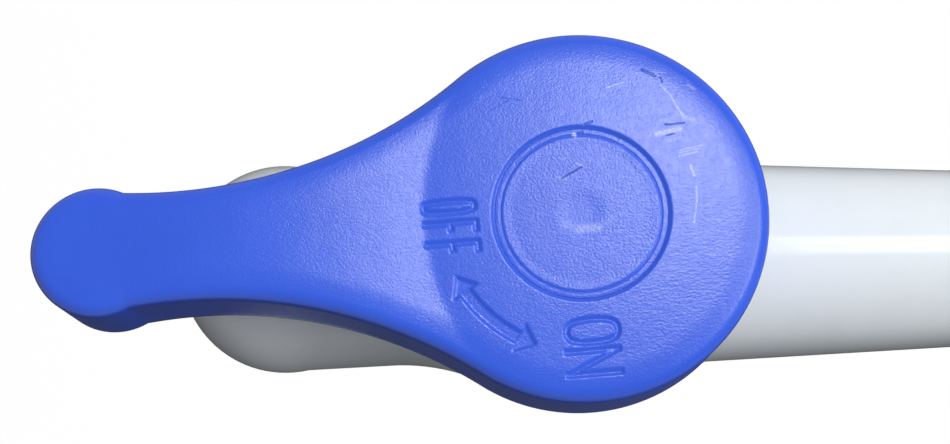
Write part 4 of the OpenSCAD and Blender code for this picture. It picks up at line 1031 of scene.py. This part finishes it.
# %% Inner finishes
SLOT_MATERIALS = {"natural_plastic": acetal, "ball_plastic": ball_plastic,
                  "seat_plastic": seat_plastic, "black_rubber": rubber, "steel": steel,
                  "white_plastic": white_plastic, "blue_plastic": blue_plastic}
for part in frame["record"]["subparts"]:
    solid = frame["nodes"][part["node"]]
    solid.data.materials.clear()
    solid.data.materials.append(SLOT_MATERIALS[part["material_slot"]])

# %% [markdown]
# ## Floor and light
# The background is white to the camera, but a floor that really was so bright would throw light
# back up and turn the lever's shaded wall pale. So the floor is a grey card, and Light Path adds
# the rest of the white for camera, mirror and glass rays alone. Mirror rays get it only away from
# the tap, because straight below it the card lies in its shade. The world does the same: it is
# dim as a light and white as a backdrop. The card lies far below, because a tap is fixed to a
# wall and is also looked at from below.

# %% Floor and world
FLOOR_Z, FLOOR_HALF, NEAR, FAR = -760.0, 6000.0, 500.0, 3000.0
WORLD_LIGHT, NEAR_GLOW, FAR_GLOW = 0.09, 0.92, 0.98


def path_rays(tree, *names):
    """1 for the named kinds of ray and 0 for the others."""
    path = add_node(tree, "ShaderNodeLightPath").outputs
    chosen = 0.0
    for name in names:
        chosen = math_node(tree, "MAXIMUM", chosen, path["Is %s Ray" % name])
    return chosen


def glowing_card(name, base_hex):
    """A diffuse card with an added glow, which grows with the distance from the tap."""
    material, tree, output = new_material(name)
    place = add_node(tree, "ShaderNodeTexCoord").outputs["Object"]
    away = add_node(tree, "ShaderNodeVectorMath", {"operation": "DISTANCE"}, _0=place,
                    _1=(SPINDLE_X * MM, 0, FLOOR_Z * MM)).outputs["Value"]
    direct = math_node(tree, "MULTIPLY", path_rays(tree, "Camera", "Transmission"),
                       remap(tree, away, NEAR * MM, FAR * MM, NEAR_GLOW, FAR_GLOW))
    mirrored = math_node(tree, "MULTIPLY", path_rays(tree, "Glossy"),
                         remap(tree, away, NEAR * MM, FAR * MM, 0, FAR_GLOW))
    glow = add_node(tree, "ShaderNodeEmission", Color=linear("#FFFFFF"),
                    Strength=math_node(tree, "ADD", direct, mirrored))
    card = add_node(tree, "ShaderNodeBsdfDiffuse", Color=linear(base_hex))
    both = add_node(tree, "ShaderNodeAddShader", _0=card.outputs[0], _1=glow.outputs[0])
    tree.links.new(both.outputs[0], output.inputs["Surface"])
    return material


corners = np.array([[x, y, FLOOR_Z] for x, y in ((-1, -1), (1, -1), (1, 1), (-1, 1))], float)
corners[:, :2] *= FLOOR_HALF
floor = mesh_object("floor", corners, np.array([[0, 1, 2, 3]]),
                    glowing_card("grey_card", "#6E6E6E"))

world = bpy.data.worlds.new("studio")
scene.world = world
world.use_nodes = True
tree = world.node_tree
tree.nodes.clear()
strength = remap(tree, path_rays(tree, "Camera", "Glossy", "Transmission"), 0, 1, WORLD_LIGHT, 1.0)
sky = add_node(tree, "ShaderNodeBackground", Color=linear("#FFFFFF"), Strength=strength)
tree.links.new(sky.outputs[0], tree.nodes.new("ShaderNodeOutputWorld").inputs["Surface"])

# %% [markdown]
# ## Lamps
# The photograph was lit from above. A wide lamp at the inlet's side gives the even light on the
# barrel, and leaves the lever's walls and the body's near side in shade. Two small ones are seen
# in the surfaces: one as the pale sheen on the lever's hub, the other as the long highlight on
# the barrel. Weak wide lamps at the front, the back and the spout's side keep the tap's other
# sides clear when it is seen from there.

# %% Lamps
LAMPS_AIM_AT, LAMP_DISTANCE = (-60.0, 0.0, 10.0), 1000.0


def lamp(name, lean_x, lean_y, size_mm, watts, mirrored):
    """An area lamp that looks at the hub, leaning from upright by two angles. One that isn't
    mirrored lights surfaces and leaves no highlight, as a bright ceiling would."""
    towards = np.array([math.tan(math.radians(lean_x)), math.tan(math.radians(lean_y)), 1.0])
    towards /= np.linalg.norm(towards)
    across = np.cross([0, 1, 0], towards)
    across /= np.linalg.norm(across)
    up = np.cross(towards, across)
    place = (np.array(LAMPS_AIM_AT) + towards * LAMP_DISTANCE) * MM
    data = bpy.data.lights.new(name, "AREA")
    data.shape, data.size, data.size_y = "RECTANGLE", size_mm[0] * MM, size_mm[1] * MM
    data.energy = watts
    lamp_object = bpy.data.objects.new(name, data)
    rows = np.column_stack([across, up, towards, place])
    lamp_object.matrix_world = Matrix([list(row) for row in rows] + [[0, 0, 0, 1]])
    lamp_object.visible_glossy = mirrored
    scene.collection.objects.link(lamp_object)
    print(name, watts, "W")


lamp("key_lamp", 42, 0, (700, 700), 7.0, mirrored=False)
lamp("front_lamp", 0, -68, (900, 900), 1.2, mirrored=False)
lamp("back_lamp", 0, 66, (900, 900), 2.4, mirrored=False)
lamp("left_lamp", -65, 0, (900, 900), 0.5, mirrored=False)
lamp("sheen_lamp", 8, 16, (170, 170), 1.7, mirrored=True)
lamp("band_lamp", 25.3, 8, (300, 330), 1.7, mirrored=True)
